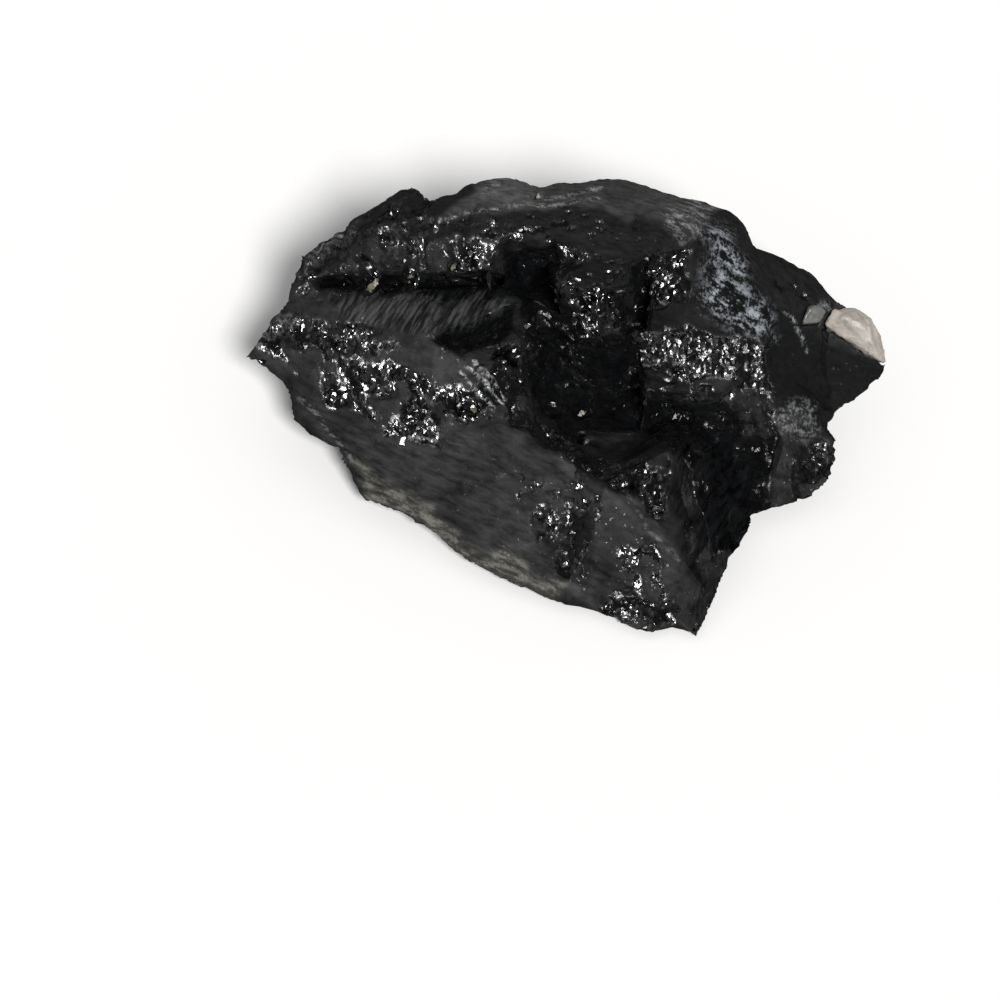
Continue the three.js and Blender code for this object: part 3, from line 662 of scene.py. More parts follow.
def noise_node(tree, place, scale, detail, roughness):
    """Smooth noise from 0 to 1 at a place."""
    return add_node(tree, "ShaderNodeTexNoise", Vector=place, Scale=scale, Detail=detail,
                    Roughness=roughness)[0]


def range_node(tree, value, source, target, blending="LINEAR"):
    """A value carried from one range to another, and held inside that."""
    ends = dict(zip(("From Min", "From Max", "To Min", "To Max"), (*source, *target)))
    return add_node(tree, "ShaderNodeMapRange", Value=value,
                    settings={"interpolation_type": blending}, **ends)[0]


def new_group(name, inputs, outputs):
    """A shader node group with named inputs and outputs: its tree, what it is given and where its
    results go."""
    tree = bpy.data.node_groups.new(name, "ShaderNodeTree")
    for label, kind, default in inputs:
        socket = tree.interface.new_socket(label, in_out="INPUT", socket_type=kind)
        if default is not None:
            socket.default_value = default
    for label, kind in outputs:
        tree.interface.new_socket(label, in_out="OUTPUT", socket_type=kind)
    given, result = tree.nodes.new("NodeGroupInput"), tree.nodes.new("NodeGroupOutput")
    return tree, given.outputs, result.inputs


def place_group(tree, group, **inputs):
    """The outputs of a group placed in a material, with its own values."""
    return add_node(tree, "ShaderNodeGroup", settings={"node_tree": group}, **inputs)


def micro_facets_group():
    """Normals of tiny flat facets. Each Voronoi cell tilts the normal by its own random amount,
    all lean towards a common cleavage direction, and a share of them turns to another side."""
    tree, given, result = new_group(
        "Micro Facets",
        [("Vector", VECTOR, None), ("Normal", VECTOR, None), ("Scale", NUMBER, 1000.0),
         ("Tilt", NUMBER, 0.3), ("Lean", NUMBER, 0.0), ("Share", NUMBER, 0.0),
         ("Turn", NUMBER, 0.0), ("Side", VECTOR, tuple(AWAY_SIDE))],
        [("Normal", VECTOR), ("Turned", NUMBER)])
    cells = add_node(tree, "ShaderNodeTexVoronoi", Vector=given["Vector"], Scale=given["Scale"])
    drawn = cells["Color"]
    chance = add_node(tree, "ShaderNodeSeparateXYZ", drawn)["Z"]
    chosen = math_node(tree, "LESS_THAN", chance, given["Share"])
    turn = math_node(tree, "MULTIPLY", chosen, given["Turn"])
    centred = vector_node(tree, "SUBTRACT", drawn, (0.5, 0.5, 0.5))
    total = given["Normal"]
    for way, reach in ((centred, given["Tilt"]), (tuple(CLEAVAGE), given["Lean"]),
                       (given["Side"], turn)):
        total = vector_node(tree, "ADD", total, vector_node(tree, "SCALE", way, Scale=reach))
    tree.links.new(vector_node(tree, "NORMALIZE", total), result["Normal"])
    tree.links.new(chosen, result["Turned"])
    return tree


def streaks_group():
    """Fine streaks along one direction: noise on coordinates that are stretched along it."""
    tree, given, result = new_group(
        "Streaks",
        [("Vector", VECTOR, None), ("Turn", VECTOR, None), ("Scale", NUMBER, 1.0),
         ("Stretch", VECTOR, (1.0, 1.0, 1.0))],
        [("Streaks", NUMBER)])
    turned_place = add_node(tree, "ShaderNodeVectorRotate", Vector=given["Vector"],
                            Rotation=given["Turn"], settings={"rotation_type": "EULER_XYZ"})[0]
    stretched = vector_node(tree, "MULTIPLY", turned_place, given["Stretch"])
    tree.links.new(noise_node(tree, stretched, given["Scale"], *STREAK_DETAIL), result["Streaks"])
    return tree


def facet_normals(tree, group, place, looks):
    """The normal turned by three layers of facets, each finer than the one before. Only the
    widest lean with the gleam, and the finer ones glitter in patches."""
    glitter = looks["glitter"]["Fac"]
    variety = range_node(tree, noise_node(tree, place, *NOISES["patches"]), (0.36, 0.64), (0.25, 1.35))
    varied = math_node(tree, "MULTIPLY", glitter, variety)
    drawn_out = vector_node(tree, "MULTIPLY", place, DRAWN_OUT)
    normal = add_node(tree, "ShaderNodeNewGeometry")["Normal"]
    lean, share_lit = looks["gleam"]["Fac"], glitter
    for scale, tilt, away_share in FACET_LAYERS:
        tilts = math_node(tree, "MULTIPLY_ADD", share_lit, tilt, LEAST_TILT)
        normal = place_group(tree, group, Vector=drawn_out, Normal=normal, Scale=scale, Tilt=tilts,
                             Lean=lean, Share=away_share, Turn=glitter)["Normal"]
        lean, share_lit = 0.0, varied
    return normal


def flowing_streaks(tree, group, place, flow):
    """Streaks that run the way the surface flows: three layers, mixed by the flow's shares."""
    layers = []
    for turn, scale, stretch, contrast, lift in STREAK_LAYERS:
        streaks = place_group(tree, group, Vector=place, Turn=(0.0, 0.0, turn), Scale=scale,
                              Stretch=stretch)["Streaks"]
        layers.append(math_node(tree, "MULTIPLY_ADD", streaks, contrast, lift))
    return vector_node(tree, "DOT_PRODUCT", add_node(tree, "ShaderNodeCombineXYZ", *layers)[0], flow)


def tourmaline_material(name, groups, gloss):
    """Black tourmaline: near-black, glassy on fresh facets and duller on smooth faces. Tone,
    frost and painted sheen, flow, dullness, glitter, gleam and specks come from the mesh's
    attributes."""
    material, tree, surface = new_material(name)
    place = add_node(tree, "ShaderNodeTexCoord")["Object"]
    looks = {look: add_node(tree, "ShaderNodeAttribute", settings={"attribute_name": look})
             for look in LOOKS}
    facets = facet_normals(tree, groups["facets"], place, looks)
    specks = place_group(tree, groups["facets"], Vector=place, Normal=facets, Scale=SPECK_SCALE,
                         Tilt=0.0, Share=looks["specks"]["Fac"], Turn=SPECK_TURN,
                         Side=tuple(CLEAVAGE))
    flowing = flowing_streaks(tree, groups["streaks"], place, looks["flow"]["Color"])
    grain = noise_node(tree, place, *NOISES["grain"])
    softness = math_node(tree, "MULTIPLY_ADD", looks["glitter"]["Fac"], -0.4, 0.5)
    bump = add_node(tree, "ShaderNodeBump", Strength=softness, Distance=0.15 * MM,
                    Height=math_node(tree, "ADD", flowing, grain), Normal=specks["Normal"])
    tree.links.new(bump[0], surface.inputs["Normal"])

    shade = range_node(tree, flowing, (0.34, 0.68), (0.35, 1.8))
    ground = vector_node(tree, "SCALE", looks["tone"]["Color"], Scale=shade)
    drawn_out = vector_node(tree, "MULTIPLY", place, DRAWN_OUT)
    # Frost and the painted sheen are laid on in sugary streaks.
    sparks = noise_node(tree, drawn_out, *NOISES["sparks"])
    mixed = math_node(tree, "MULTIPLY_ADD", flowing, 1.3, math_node(tree, "MULTIPLY", sparks, 0.7))
    sugar = range_node(tree, mixed, (0.97, 1.16), (0.0, 2.2))
    frosting_and_sheen = vector_node(tree, "SCALE", looks["frosting_and_sheen"]["Color"], Scale=sugar)
    tree.links.new(vector_node(tree, "ADD", ground, frosting_and_sheen), surface.inputs["Base Color"])

    clouding = range_node(tree, grain, (0.3, 0.7), (-0.06, 0.08))
    polished = math_node(tree, "MULTIPLY_ADD", specks["Turned"], -0.35, clouding)
    rough = math_node(tree, "ADD", looks["dullness"]["Fac"], polished, clamp=True)
    tree.links.new(rough, surface.inputs["Roughness"])
    surface.inputs["Specular IOR Level"].default_value = gloss
    surface.inputs["IOR"].default_value = TOURMALINE_IOR
    return material


def feldspar_material(name, groups, base, roughness):
    """Feldspar: pale, mottled and streaked, with a waxy surface."""
    material, tree, surface = new_material(name)
    place = add_node(tree, "ShaderNodeTexCoord")["Object"]
    mottle = noise_node(tree, place, *NOISES["mottle"])
    streaks = place_group(tree, groups["streaks"], Vector=place, Turn=(0.3, 0.0, 0.7),
                          Scale=700.0, Stretch=(0.25, 1.0, 1.0))["Streaks"]
    mixed = math_node(tree, "ADD", mottle, streaks)
    shade = tree.nodes.new("ShaderNodeMix")
    shade.data_type = "RGBA"
    tree.links.new(range_node(tree, mixed, (0.75, 1.3), (0.0, 1.0)), shade.inputs["Factor"])
    dark = [share * part for share, part in zip(FELDSPAR_DARKEST, base)]
    shade.inputs[6].default_value = (*dark, 1.0)
    shade.inputs[7].default_value = (*base, 1.0)
    tree.links.new(shade.outputs[2], surface.inputs["Base Color"])
    bump = add_node(tree, "ShaderNodeBump", Strength=0.4, Distance=0.12 * MM, Height=mixed)
    tree.links.new(bump[0], surface.inputs["Normal"])
    surface.inputs["Roughness"].default_value = roughness
    surface.inputs["IOR"].default_value = FELDSPAR_IOR
    return material


def shared_groups():
    """The shader node groups that the materials share, made once."""
    facets = bpy.data.node_groups.get("Micro Facets") or micro_facets_group()
    streaks = bpy.data.node_groups.get("Streaks") or streaks_group()
    return {"facets": facets, "streaks": streaks}


# ---- The tourmaline ----

FOOT_TOP = 0.02 * MM  # the skin below this height is the flat foot
SHARP_TURN = math.radians(32)  # of a CAD edge that keeps its place when the skin is relaxed
SMOOTH_TURN = math.radians(20)  # up to which the skin's edges are shaded smooth
TIP_LENGTH = 4 * MM  # of the left tip, which stays calm
RELAXING_ROUNDS = 12
FACET_SALTS = (11, 31)  # of the larger and the smaller facets
STRIATIONS = {  # turn and salt
    "striated": (math.radians(50), 71),
    "columns": (math.radians(90), 81),
}
GRAIN_HEIGHT = 0.05 * MM  # of the fine lumps all over
BACK_HEIGHT = 0.22 * MM  # of the lumps on the back
RIM_SWELL = 0.2 * MM  # how far the rim stands out, seen along the sight
BODY_SWELL = 0.12 * MM  # how far the whole skin stands out, above the foot
SWELL_RISE = 3 * MM  # height over which that swelling sets in
STRIATION_WANDER = 6 * MM  # size of the lumps of noise that move the ridges
STRIATION_UNEVENNESS = 3 * MM  # the same for those that make them higher or lower
NARROW_BORDER = 6.0  # columns over which a kind of surface fades in, to each side
WIDE_BORDER = 12.0  # the same for the kinds that fade in more slowly
# the hollows' painted shade and the painted sheen fade in over the wide border
WIDE_KINDS = ("hollow", "sheen")
HIDDEN_DUST = 0.3  # share of dust outside the loops that give one
CRACK_STRAY = 5  # columns that a crack strays to the side
LINE_STRAY = 3  # the same for a pale line
LINE_WIDTH = 2.2  # columns from the middle of a pale line to its edge
FIELDS = {  # smooth noise by its use: size of the widest lumps, salt and number of layers
    "border right": (5 * MM, 311, 3),
    "border down": (5 * MM, 321, 3),
    "crack right": (3 * MM, 411, 1),
    "crack down": (3 * MM, 412, 1),
    "crack width": (2.5 * MM, 401, 1),
    "line right": (2.5 * MM, 441, 1),
    "line down": (2.5 * MM, 442, 1),
    "back patches": (26 * MM, 301, 1),
    "small back patches": (11 * MM, 302, 1),
    "breaks": (3.6 * MM, 331, 2),
    "spots": (1.3 * MM, 341, 2),
    "holes": (2.6 * MM, 351, 3),
    "flecks": (1.6 * MM, 361, 2),
    "dust_and_shade": (9 * MM, 371, 2),
    "grain": (2 * MM, 51, 3),
    "back lumps": (7 * MM, 61, 3),
    "column breaks": (3 * MM, 83, 2),
    "slab streaks": (1.8 * MM, 451, 2),
    "feldspar": (2.2 * MM, 91, 3),
    "fine feldspar": (0.9 * MM, 97, 2),
}
SCOOPS = {  # shallow scoops by their use: size, slope, bend and salt
    "plain": (7 * MM, 0.1, 0.1, 45),
    "open": (3.2 * MM, 0.14, 0.12, 46),
    "sheen": (1.8 * MM, 0.25, 0.25, 55),
    "worn": (2.6 * MM, 0.3, 0.25, 56),
    "feldspar grain": (1.5 * MM, 0.5, 0.1, 95),
    "feldspar": (1.6 * MM, 0.3, 0.2, 96),
}


def field(points, use):
    """The noise of a use at each point."""
    return layered_noise(points, *FIELDS[use])


def scoops(points, use):
    """The height of a use's scoops at each point."""
    return scoop_height(points, *SCOOPS[use])


def strayed(seen, points, use, reach):
    """Seen places moved right and down by noise, by up to about the reach."""
    return seen + reach * np.stack([field(points, use + " right"), field(points, use + " down")], axis=1)


def most(*values):
    """The largest of the values at each point."""
    return np.maximum.reduce(np.broadcast_arrays(*values))


def surface_weights(points, normals, settings):
    """How much of each kind of surface there is at each point, from 0 to 1. The borders stray by
    layered noise, and a kind ends where the surface turns away from the sight."""
    seen = strayed(seen_at(points), points, "border", settings.border_wander * STEPS_PER_METRE)
    front = np.clip(0.5 - 2.5 * (unit(points - EYE) * normals).sum(axis=1), 0, 1)
    weights = {}
    for kind, loops in ZONES.items():
        border = WIDE_BORDER if kind in WIDE_KINDS else NARROW_BORDER
        weights[kind] = front * zone_weight(seen, loops, border)
    granular, calm, bright, hollow = (weights[k] for k in ("granular", "calm", "bright", "hollow"))
    dust_and_shade = np.full(len(points), HIDDEN_DUST)
    for share, loop in DUST_AND_SHADE:
        dust_and_shade += front * zone_weight(seen, [loop], NARROW_BORDER) * (share - dust_and_shade)
    patches = field(points, "back patches") + 0.5 * field(points, "small back patches")
    back_granular = (1 - front) * np.clip(0.5 + 3 * (patches - 0.1), 0, 1)
    breaks = np.clip(0.72 + 2.0 * field(points, "breaks"), 0.15, 1)
    fracture = most(granular, back_granular) * breaks
    fracture = most(fracture * (1 - 0.92 * calm), 0.8 * bright)
    uneven = 0.16 * (1 - weights["slab"]) * (1 - weights["striated"]) * (1 - calm)
    flecks = weights["sparse"] * past(field(points, "flecks"), 0.25, 4)
    rough = most(fracture, 0.8 * hollow, 0.7 * flecks, uneven)
    unlit = weights["dim"] * (1 - bright) * (1 - past(field(points, "spots"), 0.05, 3))
    fresh = past(rough, 0.22, 3.5) * (1 - 0.95 * unlit)
    # Pits are sunk into the skin; their darker tone and deep material are painted shade.
    holes = past(field(points, "holes"), -0.4, -5)
    pits = holes * np.clip(1.6 * fracture - 0.3, 0, 1) * (1 - hollow)
    return {**weights, "front": front, "dust_and_shade": dust_and_shade, "back_granular": back_granular,
            "flecks": flecks, "rough": rough, "fresh": fresh, "pits": pits}


def striation_height(seen, points, settings, turn, salt):
    """Ridges across a direction: a rounded wave of the distance across, whose pitch and height
    wander with smooth noise."""
    across = (seen[:, 0] * math.sin(turn) + seen[:, 1] * math.cos(turn)) / STEPS_PER_METRE
    wander = settings.striation_pitch * lump_noise(points, STRIATION_WANDER, salt)
    wave = np.abs(np.sin(math.pi * (across + wander) / settings.striation_pitch))
    strength = 0.6 + 0.4 * lump_noise(points, STRIATION_UNEVENNESS, salt + 1)
    return settings.striation_height * (1 - 2 * wave) * strength


def streak_height(seen, settings):
    """Low ridges along the slab: layered noise of places that are drawn out along it."""
    turn = settings.slab_turn
    along = (seen[:, 0] * math.cos(turn) + seen[:, 1] * math.sin(turn)) / STEPS_PER_METRE
    across = (seen[:, 1] * math.cos(turn) - seen[:, 0] * math.sin(turn)) / STEPS_PER_METRE
    drawn_out = np.stack([0.14 * along, across, 0 * along], axis=1)
    return settings.streak_height * field(drawn_out, "slab streaks")


def crack_height(seen, points, settings):
    """A narrow valley along each crack: deepest on its line, gone at its edge."""
    width = 3.0 + 1.5 * field(points, "crack width")
    wandering = strayed(seen, points, "crack", CRACK_STRAY)
    height = np.zeros(len(seen))
    for path in CRACKS:
        share = np.clip(1 - distance_to_path(wandering, path) / width, 0, 1)
        height = np.minimum(height, -settings.crack_depth * share)
    return height


def longest_edges(points, faces, edges, middles, settings):
    """The longest edge allowed at the middle of each edge, by the kind of surface there."""
    normals = unit(point_normals(points, faces)[edges].sum(axis=1))
    weights = surface_weights(middles, normals, settings)
    limit = settings.hidden_edge + (settings.smooth_edge - settings.hidden_edge) * weights["front"]
    for kind in ("rough", "sheen", "columns", "striated"):
        edge = settings.striated_edge if kind == "striated" else settings.granular_edge
        fine = (weights[kind] > 0.25) & (weights["front"] > 0.3)
        limit = np.where(fine, np.minimum(limit, edge), limit)
    limit = np.where(weights["hollow"] > 0.6, np.maximum(limit, settings.smooth_edge), limit)
    return np.where(middles[:, 2] < FOOT_TOP, 8 * settings.hidden_edge, limit)


def build_skin(settings):
    """Points and triangles of the dressed lump. The CAD skin is cut finer, relaxed on its calm
    faces, and then moved along its normals by facets, striations, cracks, pits and fine lumps."""
    points, faces = merged_mesh("tourmaline")
    points, faces = split_long_edges(
        points, faces, settings.striated_edge, lambda *place: longest_edges(*place, settings))

    on_foot = points[:, 2] < FOOT_TOP
    weights = surface_weights(points, point_normals(points, faces), settings)
    held = sharp_points(points, faces, SHARP_TURN) & (weights["striated"] < 0.3)
    strength = 0.5 * (1 - 0.6 * weights["rough"]) * np.where(held, 0.25, 1.0)
    points = relaxed(points, faces, np.where(on_foot, 0.0, strength), RELAXING_ROUNDS)

    normals = point_normals(points, faces)
    weights = surface_weights(points, normals, settings)
    seen = seen_at(points)
    rough, front, slab = weights["rough"], weights["front"], weights["slab"]
    big, slope, bend = settings.facet_size, settings.facet_slope, settings.facet_bend
    rim = 4 * front * (1 - front)
    tip = np.clip((points[:, 0] - CAD_BOX[0][0]) / TIP_LENGTH, 0, 1)
    facets = scoop_height(points, big, slope, bend, FACET_SALTS[0])
    facets += 0.8 * scoop_height(points, 0.5 * big, slope, bend, FACET_SALTS[1])
    height = rough * (1 - 0.5 * rim) * tip * facets
    plain = (1 - rough) * (1 - weights["striated"])
    height += plain * (scoops(points, "plain") + (1 - slab) * scoops(points, "open"))
    height += GRAIN_HEIGHT * field(points, "grain")
    height += weights["sheen"] * scoops(points, "sheen")
    height += BACK_HEIGHT * field(points, "back lumps") * (1 - front)
    height += slab * (1 - rough) * streak_height(seen, settings)
    columns = 0.6 * weights["columns"] * (0.8 + 0.5 * field(points, "column breaks"))
    for kind, share in (("striated", weights["striated"]), ("columns", columns)):
        height += share * striation_height(seen, points, settings, *STRIATIONS[kind])
    height += rim * (1 - rough) * ((1 + weights["warm"]) * scoops(points, "worn") + RIM_SWELL)
    height += BODY_SWELL * np.minimum(points[:, 2] / SWELL_RISE, 1)
    height += front * crack_height(seen, points, settings) - settings.pit_depth * weights["pits"]
    height[on_foot] = 0
    return kept_in_box(points + normals * height[:, None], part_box("tourmaline")), faces


def frosting_and_sheen_colour(points, weights, settings):
    """The colour of the frost and of the painted sheen at each point: the strongest of the kinds
    that are frosted, the sheen patch, whose bluish colour is a painted sheen, and the pale lines,
    which fade out from their middle."""
    seen = strayed(seen_at(points), points, "line", LINE_STRAY)
    lines = most(*(strength * np.clip(1.3 - distance_to_path(seen, path) / LINE_WIDTH, 0, 1)
                   for strength, path in PALE_LINES))
    parts = [
        # the sheen patch's bluish colour is a painted sheen
        (weights["sheen"], settings.sheen),
        (0.4 * weights["warm"], settings.warm),
        (0.4 * weights["frosted"], settings.frost),
        (0.6 * weights["pale"], settings.frost),
        (0.06 * weights["striated"], settings.frost),
        (weights["front"] * lines, settings.frost),
    ]
    return most(*(share[:, None] * np.array(tint) for share, tint in parts))


def tourmaline_looks(points, faces, settings):
    """Tone, frost and painted sheen, flow, dullness, glitter, gleam and specks at each point, from
    the kinds of surface there, and each face's material: 0 dusty, 1 fresh or 2 deep. In the
    hollows and the pits, tone, gloss and sparkle are cut down as painted shade."""
    weights = surface_weights(points, point_normals(points, faces), settings)
    rough, hollow, bright = weights["rough"], weights["hollow"], weights["bright"]
    black, dull = np.array(settings.black), np.array(settings.dull)
    # Less dull grey on fresh fracture and on the columns, and much less in the hollows: there it is
    # painted shade.
    dust_and_shade = (1 - 0.95 * weights["fresh"]) * (1 - 0.9 * hollow) * (1 - 0.85 * weights["columns"])
    dust_and_shade *= (1 + 0.3 * field(points, "dust_and_shade")) * weights["dust_and_shade"]
    # The pits are darkened in tone: painted shade.
    tone = (black + dust_and_shade[:, None] * (dull - black)) * (1 - 0.8 * weights["pits"])[:, None]
    tone += weights["warm"][:, None] * (0.6 * np.array(settings.warm) - tone)
    upright = most(weights["columns"], weights["striated"])
    along = (1 - upright) * most(weights["slab"], weights["warm"], weights["sheen"])
    dullness = 0.55 - 0.42 * most(weights["fresh"], bright)
    # Faces with little dull grey are made rougher so that they reflect less: painted shade.
    dullness += 0.09 * weights["band"] + 0.4 * np.clip(1 - 5 * weights["dust_and_shade"], 0, 1)
    leans = bright * (0.75 + 0.7 * weights["band"])
    slots = np.where(weights["fresh"][faces].mean(axis=1) > 0.4, 1, 0)
    # The hollows and the pits take the deep material, whose low specular level is painted shade.
    slots[most(hollow, weights["pits"])[faces].mean(axis=1) > 0.5] = 2
    return {
        "tone": tone,
        "frosting_and_sheen": frosting_and_sheen_colour(points, weights, settings),
        "flow": np.stack([along, 1 - along - upright, upright], axis=1),
        "dullness": dullness,
        "glitter": np.clip(rough * (1 - 0.3 * hollow) + 0.4 * weights["sheen"], 0.03, 1),
        "gleam": most(leans, 0.2 * weights["granular"], 0.7 * weights["flecks"]) * (1 - hollow),
        "specks": 0.01 + 0.03 * weights["sparse"] + 0.05 * weights["dim"] * (1 - hollow),
    }, slots


def add_looks(piece, looks):
    """Every look kept as an attribute of the piece."""
    for name, values in looks.items():
        add_attribute(piece, name, values)


class SPECIMEN_OT_tourmaline(bpy.types.Operator):
    """Builds the broken black skin of the lump"""

    bl_idname = "specimen.tourmaline"
    bl_label = "Tourmaline Skin"

    def execute(self, context):
        settings = context.scene.specimen_skin
        points, faces = build_skin(settings)
        groups = shared_groups()
        # The deep material's low specular level is painted shade for the hollows and the pits.
        glosses = {"dusty": settings.dusty_gloss, "fresh": settings.fresh_gloss,
                   "deep": settings.painted_shade_gloss}
        materials = [tourmaline_material("tourmaline_" + surface, groups, gloss)
                     for surface, gloss in glosses.items()]
        looks, slots = tourmaline_looks(points, faces, settings)
        skin = mesh_object("tourmaline_skin", points, faces, materials, SMOOTH_TURN, slots)
        add_looks(skin, looks)
        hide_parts("tourmaline")
        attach(skin, "root")
        return {"FINISHED"}


# ---- The sparkling chips ----

CHIP_FREE_HEIGHT = 1.5 * MM  # above the floor, where no chip sits
CORNER_STRAY = 0.3  # of a corner from its even place round the chip, as a share of a side
CORNER_REACH = (0.32, 0.62)  # least and most, as shares of the chip's size
CHIP_STRETCH = (0.6, 1.5)  # least and most
CHIP_LIFT = 0.08  # highest, as a share of its size
CHIP_SINK = 0.8  # depth of its lower ring, as a share of its size
LOWER_RING = 0.8  # width of that ring, as a share of the top's
SIZE_SPREAD = 0.4  # of the logarithm of the sizes
CHIP_DULLNESS = (0.1, 0.3)  # least and most


def scattered_places(points, faces, weight, count, draw):
    """Places on the triangles, drawn by area times weight: each is a random mix of its
    triangle's corners."""
    area = 0.5 * np.linalg.norm(face_normals(points, faces), axis=1)
    chance = area * weight[faces].mean(axis=1)
    chosen = draw.choice(len(faces), size=count, p=chance / chance.sum())
    share = np.sqrt(draw.random(count))
    along = draw.random(count)
    mix = np.stack([1 - share, share * (1 - along), share * along], axis=1)
    return np.einsum("ij,ijk->ik", mix, points[faces[chosen]]), chosen


def chip_mesh(middles, normals, sizes, tilts, sides, draw):
    """Chips with a flat tilted face on top. Each ring of corners is a circle of uneven reach in
    the chip's plane; the lower ring is sunk along the normal, and both ends are fans."""
    count = len(middles)
    across = unit(np.cross(normals, draw.normal(size=(count, 3))))
    along = np.cross(normals, across)
    strays = draw.uniform(-CORNER_STRAY, CORNER_STRAY, (count, sides))
    angle = 2 * math.pi * (np.arange(sides) + strays) / sides
    reach = sizes[:, None] * draw.uniform(*CORNER_REACH, (count, sides))
    stretch = draw.uniform(*CHIP_STRETCH, (count, 1))
    flat = (across[:, None] * (reach * np.cos(angle) * stretch)[..., None]
            + along[:, None] * (reach * np.sin(angle) / stretch)[..., None])
    rise = np.einsum("nsk,nk->ns", flat, tilts)
    lift = CHIP_LIFT * sizes * draw.uniform(0, 1, count)
    top = middles[:, None] + flat + normals[:, None] * (rise + lift[:, None])[..., None]
    sink = CHIP_SINK * sizes[:, None, None] * normals[:, None]
    low = middles[:, None] + LOWER_RING * flat - sink
    corners = np.concatenate([top, low], axis=1)
    ring = np.arange(sides)
    after = (ring + 1) % sides
    walls = np.vstack([np.stack([ring + sides, after + sides, after], axis=1),
                       np.stack([ring + sides, after, ring], axis=1)])
    lid = np.stack([np.zeros(sides - 2, int), ring[1:-1], ring[2:]], axis=1)
    base = sides + lid[:, ::-1]
    pattern = np.vstack([walls, lid, base])
    faces = (pattern[None] + 2 * sides * np.arange(count)[:, None, None]).reshape(-1, 3)
    return corners.reshape(-1, 3), faces


def skin_arrays():
    """Points and triangles of the finished skin."""
    mesh = bpy.data.objects["tourmaline_skin"].data
    points = np.empty(len(mesh.vertices) * 3)
    mesh.vertices.foreach_get("co", points)
    faces = np.empty(len(mesh.polygons) * 3, np.int64)
    mesh.polygons.foreach_get("vertices", faces)
    return points.reshape(-1, 3), faces.reshape(-1, 3)


class SPECIMEN_OT_chips(bpy.types.Operator):
    """Scatters small flat-faced chips over the granular fracture"""

    bl_idname = "specimen.chips"
    bl_label = "Sparkling Chips"

    def execute(self, context):
        settings = context.scene.specimen_chips
        skin_settings = context.scene.specimen_skin
        draw = np.random.default_rng(skin_settings.seed)
        points, faces = skin_arrays()
        normals = point_normals(points, faces)
        weights = surface_weights(points, normals, skin_settings)
        weight = 0.12 * weights["granular"] + 1.6 * weights["bright"] + 0.05 * weights["hollow"]
        weight = weight * (1 - 0.9 * weights["calm"]) + 0.15 * weights["back_granular"]
        weight[points[:, 2] < CHIP_FREE_HEIGHT] = 0
        weight[points[:, 0] < CAD_BOX[0][0] + TIP_LENGTH] = 0
        weight[(weights["front"] > 0.02) & (weights["front"] < 0.98)] = 0  # the rim
        places, chosen = scattered_places(points, faces, weight, settings.count, draw)
        outward = unit(normals[faces[chosen]].sum(axis=1))
        sizes = settings.size * np.exp(draw.normal(0, SIZE_SPREAD, len(places)))
        tilts = math.tan(settings.tilt) * draw.uniform(-1, 1, (len(places), 3))
        tilts = tilts - settings.lean * (CLEAVAGE - outward)
        corners, chip_faces = chip_mesh(places, outward, sizes, tilts, settings.sides, draw)
        corners = kept_in_box(corners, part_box("tourmaline"))
        chips = mesh_object("tourmaline_chips", corners, chip_faces,
                            [bpy.data.materials["tourmaline_fresh"]])
        looks, _ = tourmaline_looks(corners, chip_faces, skin_settings)
        per_chip = draw.uniform(*CHIP_DULLNESS, len(places))
        looks["dullness"] = np.repeat(per_chip, 2 * settings.sides)
        looks["glitter"] = 0.25 * looks["glitter"]
        looks["gleam"] = 0 * looks["gleam"]
        add_looks(chips, looks)
        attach(chips, "root")
        return {"FINISHED"}


# ---- The feldspar ----

CREAM_PIECES = ("feldspar_cap", "feldspar_grain_hollow", "feldspar_grain_peak")
FELDSPAR_TURN = math.radians(28)  # up to which its edges are shaded smooth
FELDSPAR_RELAXING = (0.35, 3)  # strength and rounds


def build_feldspar(node, settings):
    """The CAD piece cut finer and rounded a little. The cap and the sliver are swollen to fill
    their seats and given waxy lumps and scoops along their normals; a grain is worn flat towards
    the eye and scooped."""
    points, faces = merged_mesh(node)
    points, faces = split_long_edges(
        points, faces, settings.edge, lambda _, __, edges, ___: np.full(len(edges), settings.edge))
    strength, rounds = FELDSPAR_RELAXING
    points = relaxed(points, faces, np.full(len(points), strength), rounds)
    normals = point_normals(points, faces)
    height = settings.swell + settings.relief * field(points, "feldspar")
    if node.startswith("feldspar_grain"):
        middle = (points.min(axis=0) + points.max(axis=0)) / 2
        nearness = np.maximum((points - middle) @ -SIGHT_FORWARD, 0)
        points = points + settings.flatness * nearness[:, None] * SIGHT_FORWARD
        height = scoops(points, "feldspar grain")
    else:
        height += scoops(points, "feldspar")
        height += 0.3 * settings.relief * field(points, "fine feldspar")
    return kept_in_box(points + normals * height[:, None], CAD_BOX), faces


class SPECIMEN_OT_feldspar(bpy.types.Operator):
    """Builds the cream cap, the frosty sliver and the small grains"""

    bl_idname = "specimen.feldspar"
    bl_label = "Feldspar"

    def execute(self, context):
        settings = context.scene.specimen_feldspar
        groups = shared_groups()
        cream = feldspar_material("feldspar_cream", groups, tuple(settings.cream), 0.5)
        grain = feldspar_material("feldspar_grain", groups, tuple(settings.grain), 0.4)
        frosty = feldspar_material("feldspar_frosty", groups, tuple(settings.frosty), 0.35)
        for node in sorted(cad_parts):
            if not node.startswith("feldspar"):
                continue
            points, faces = build_feldspar(node, settings)
            is_sliver = node == "feldspar_sliver"
            material = frosty if is_sliver else cream if node in CREAM_PIECES else grain
            piece = mesh_object(node + "_surface", points, faces, [material], FELDSPAR_TURN)
            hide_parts(node)
            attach(piece, "root")
        return {"FINISHED"}


# ---- The stage ----

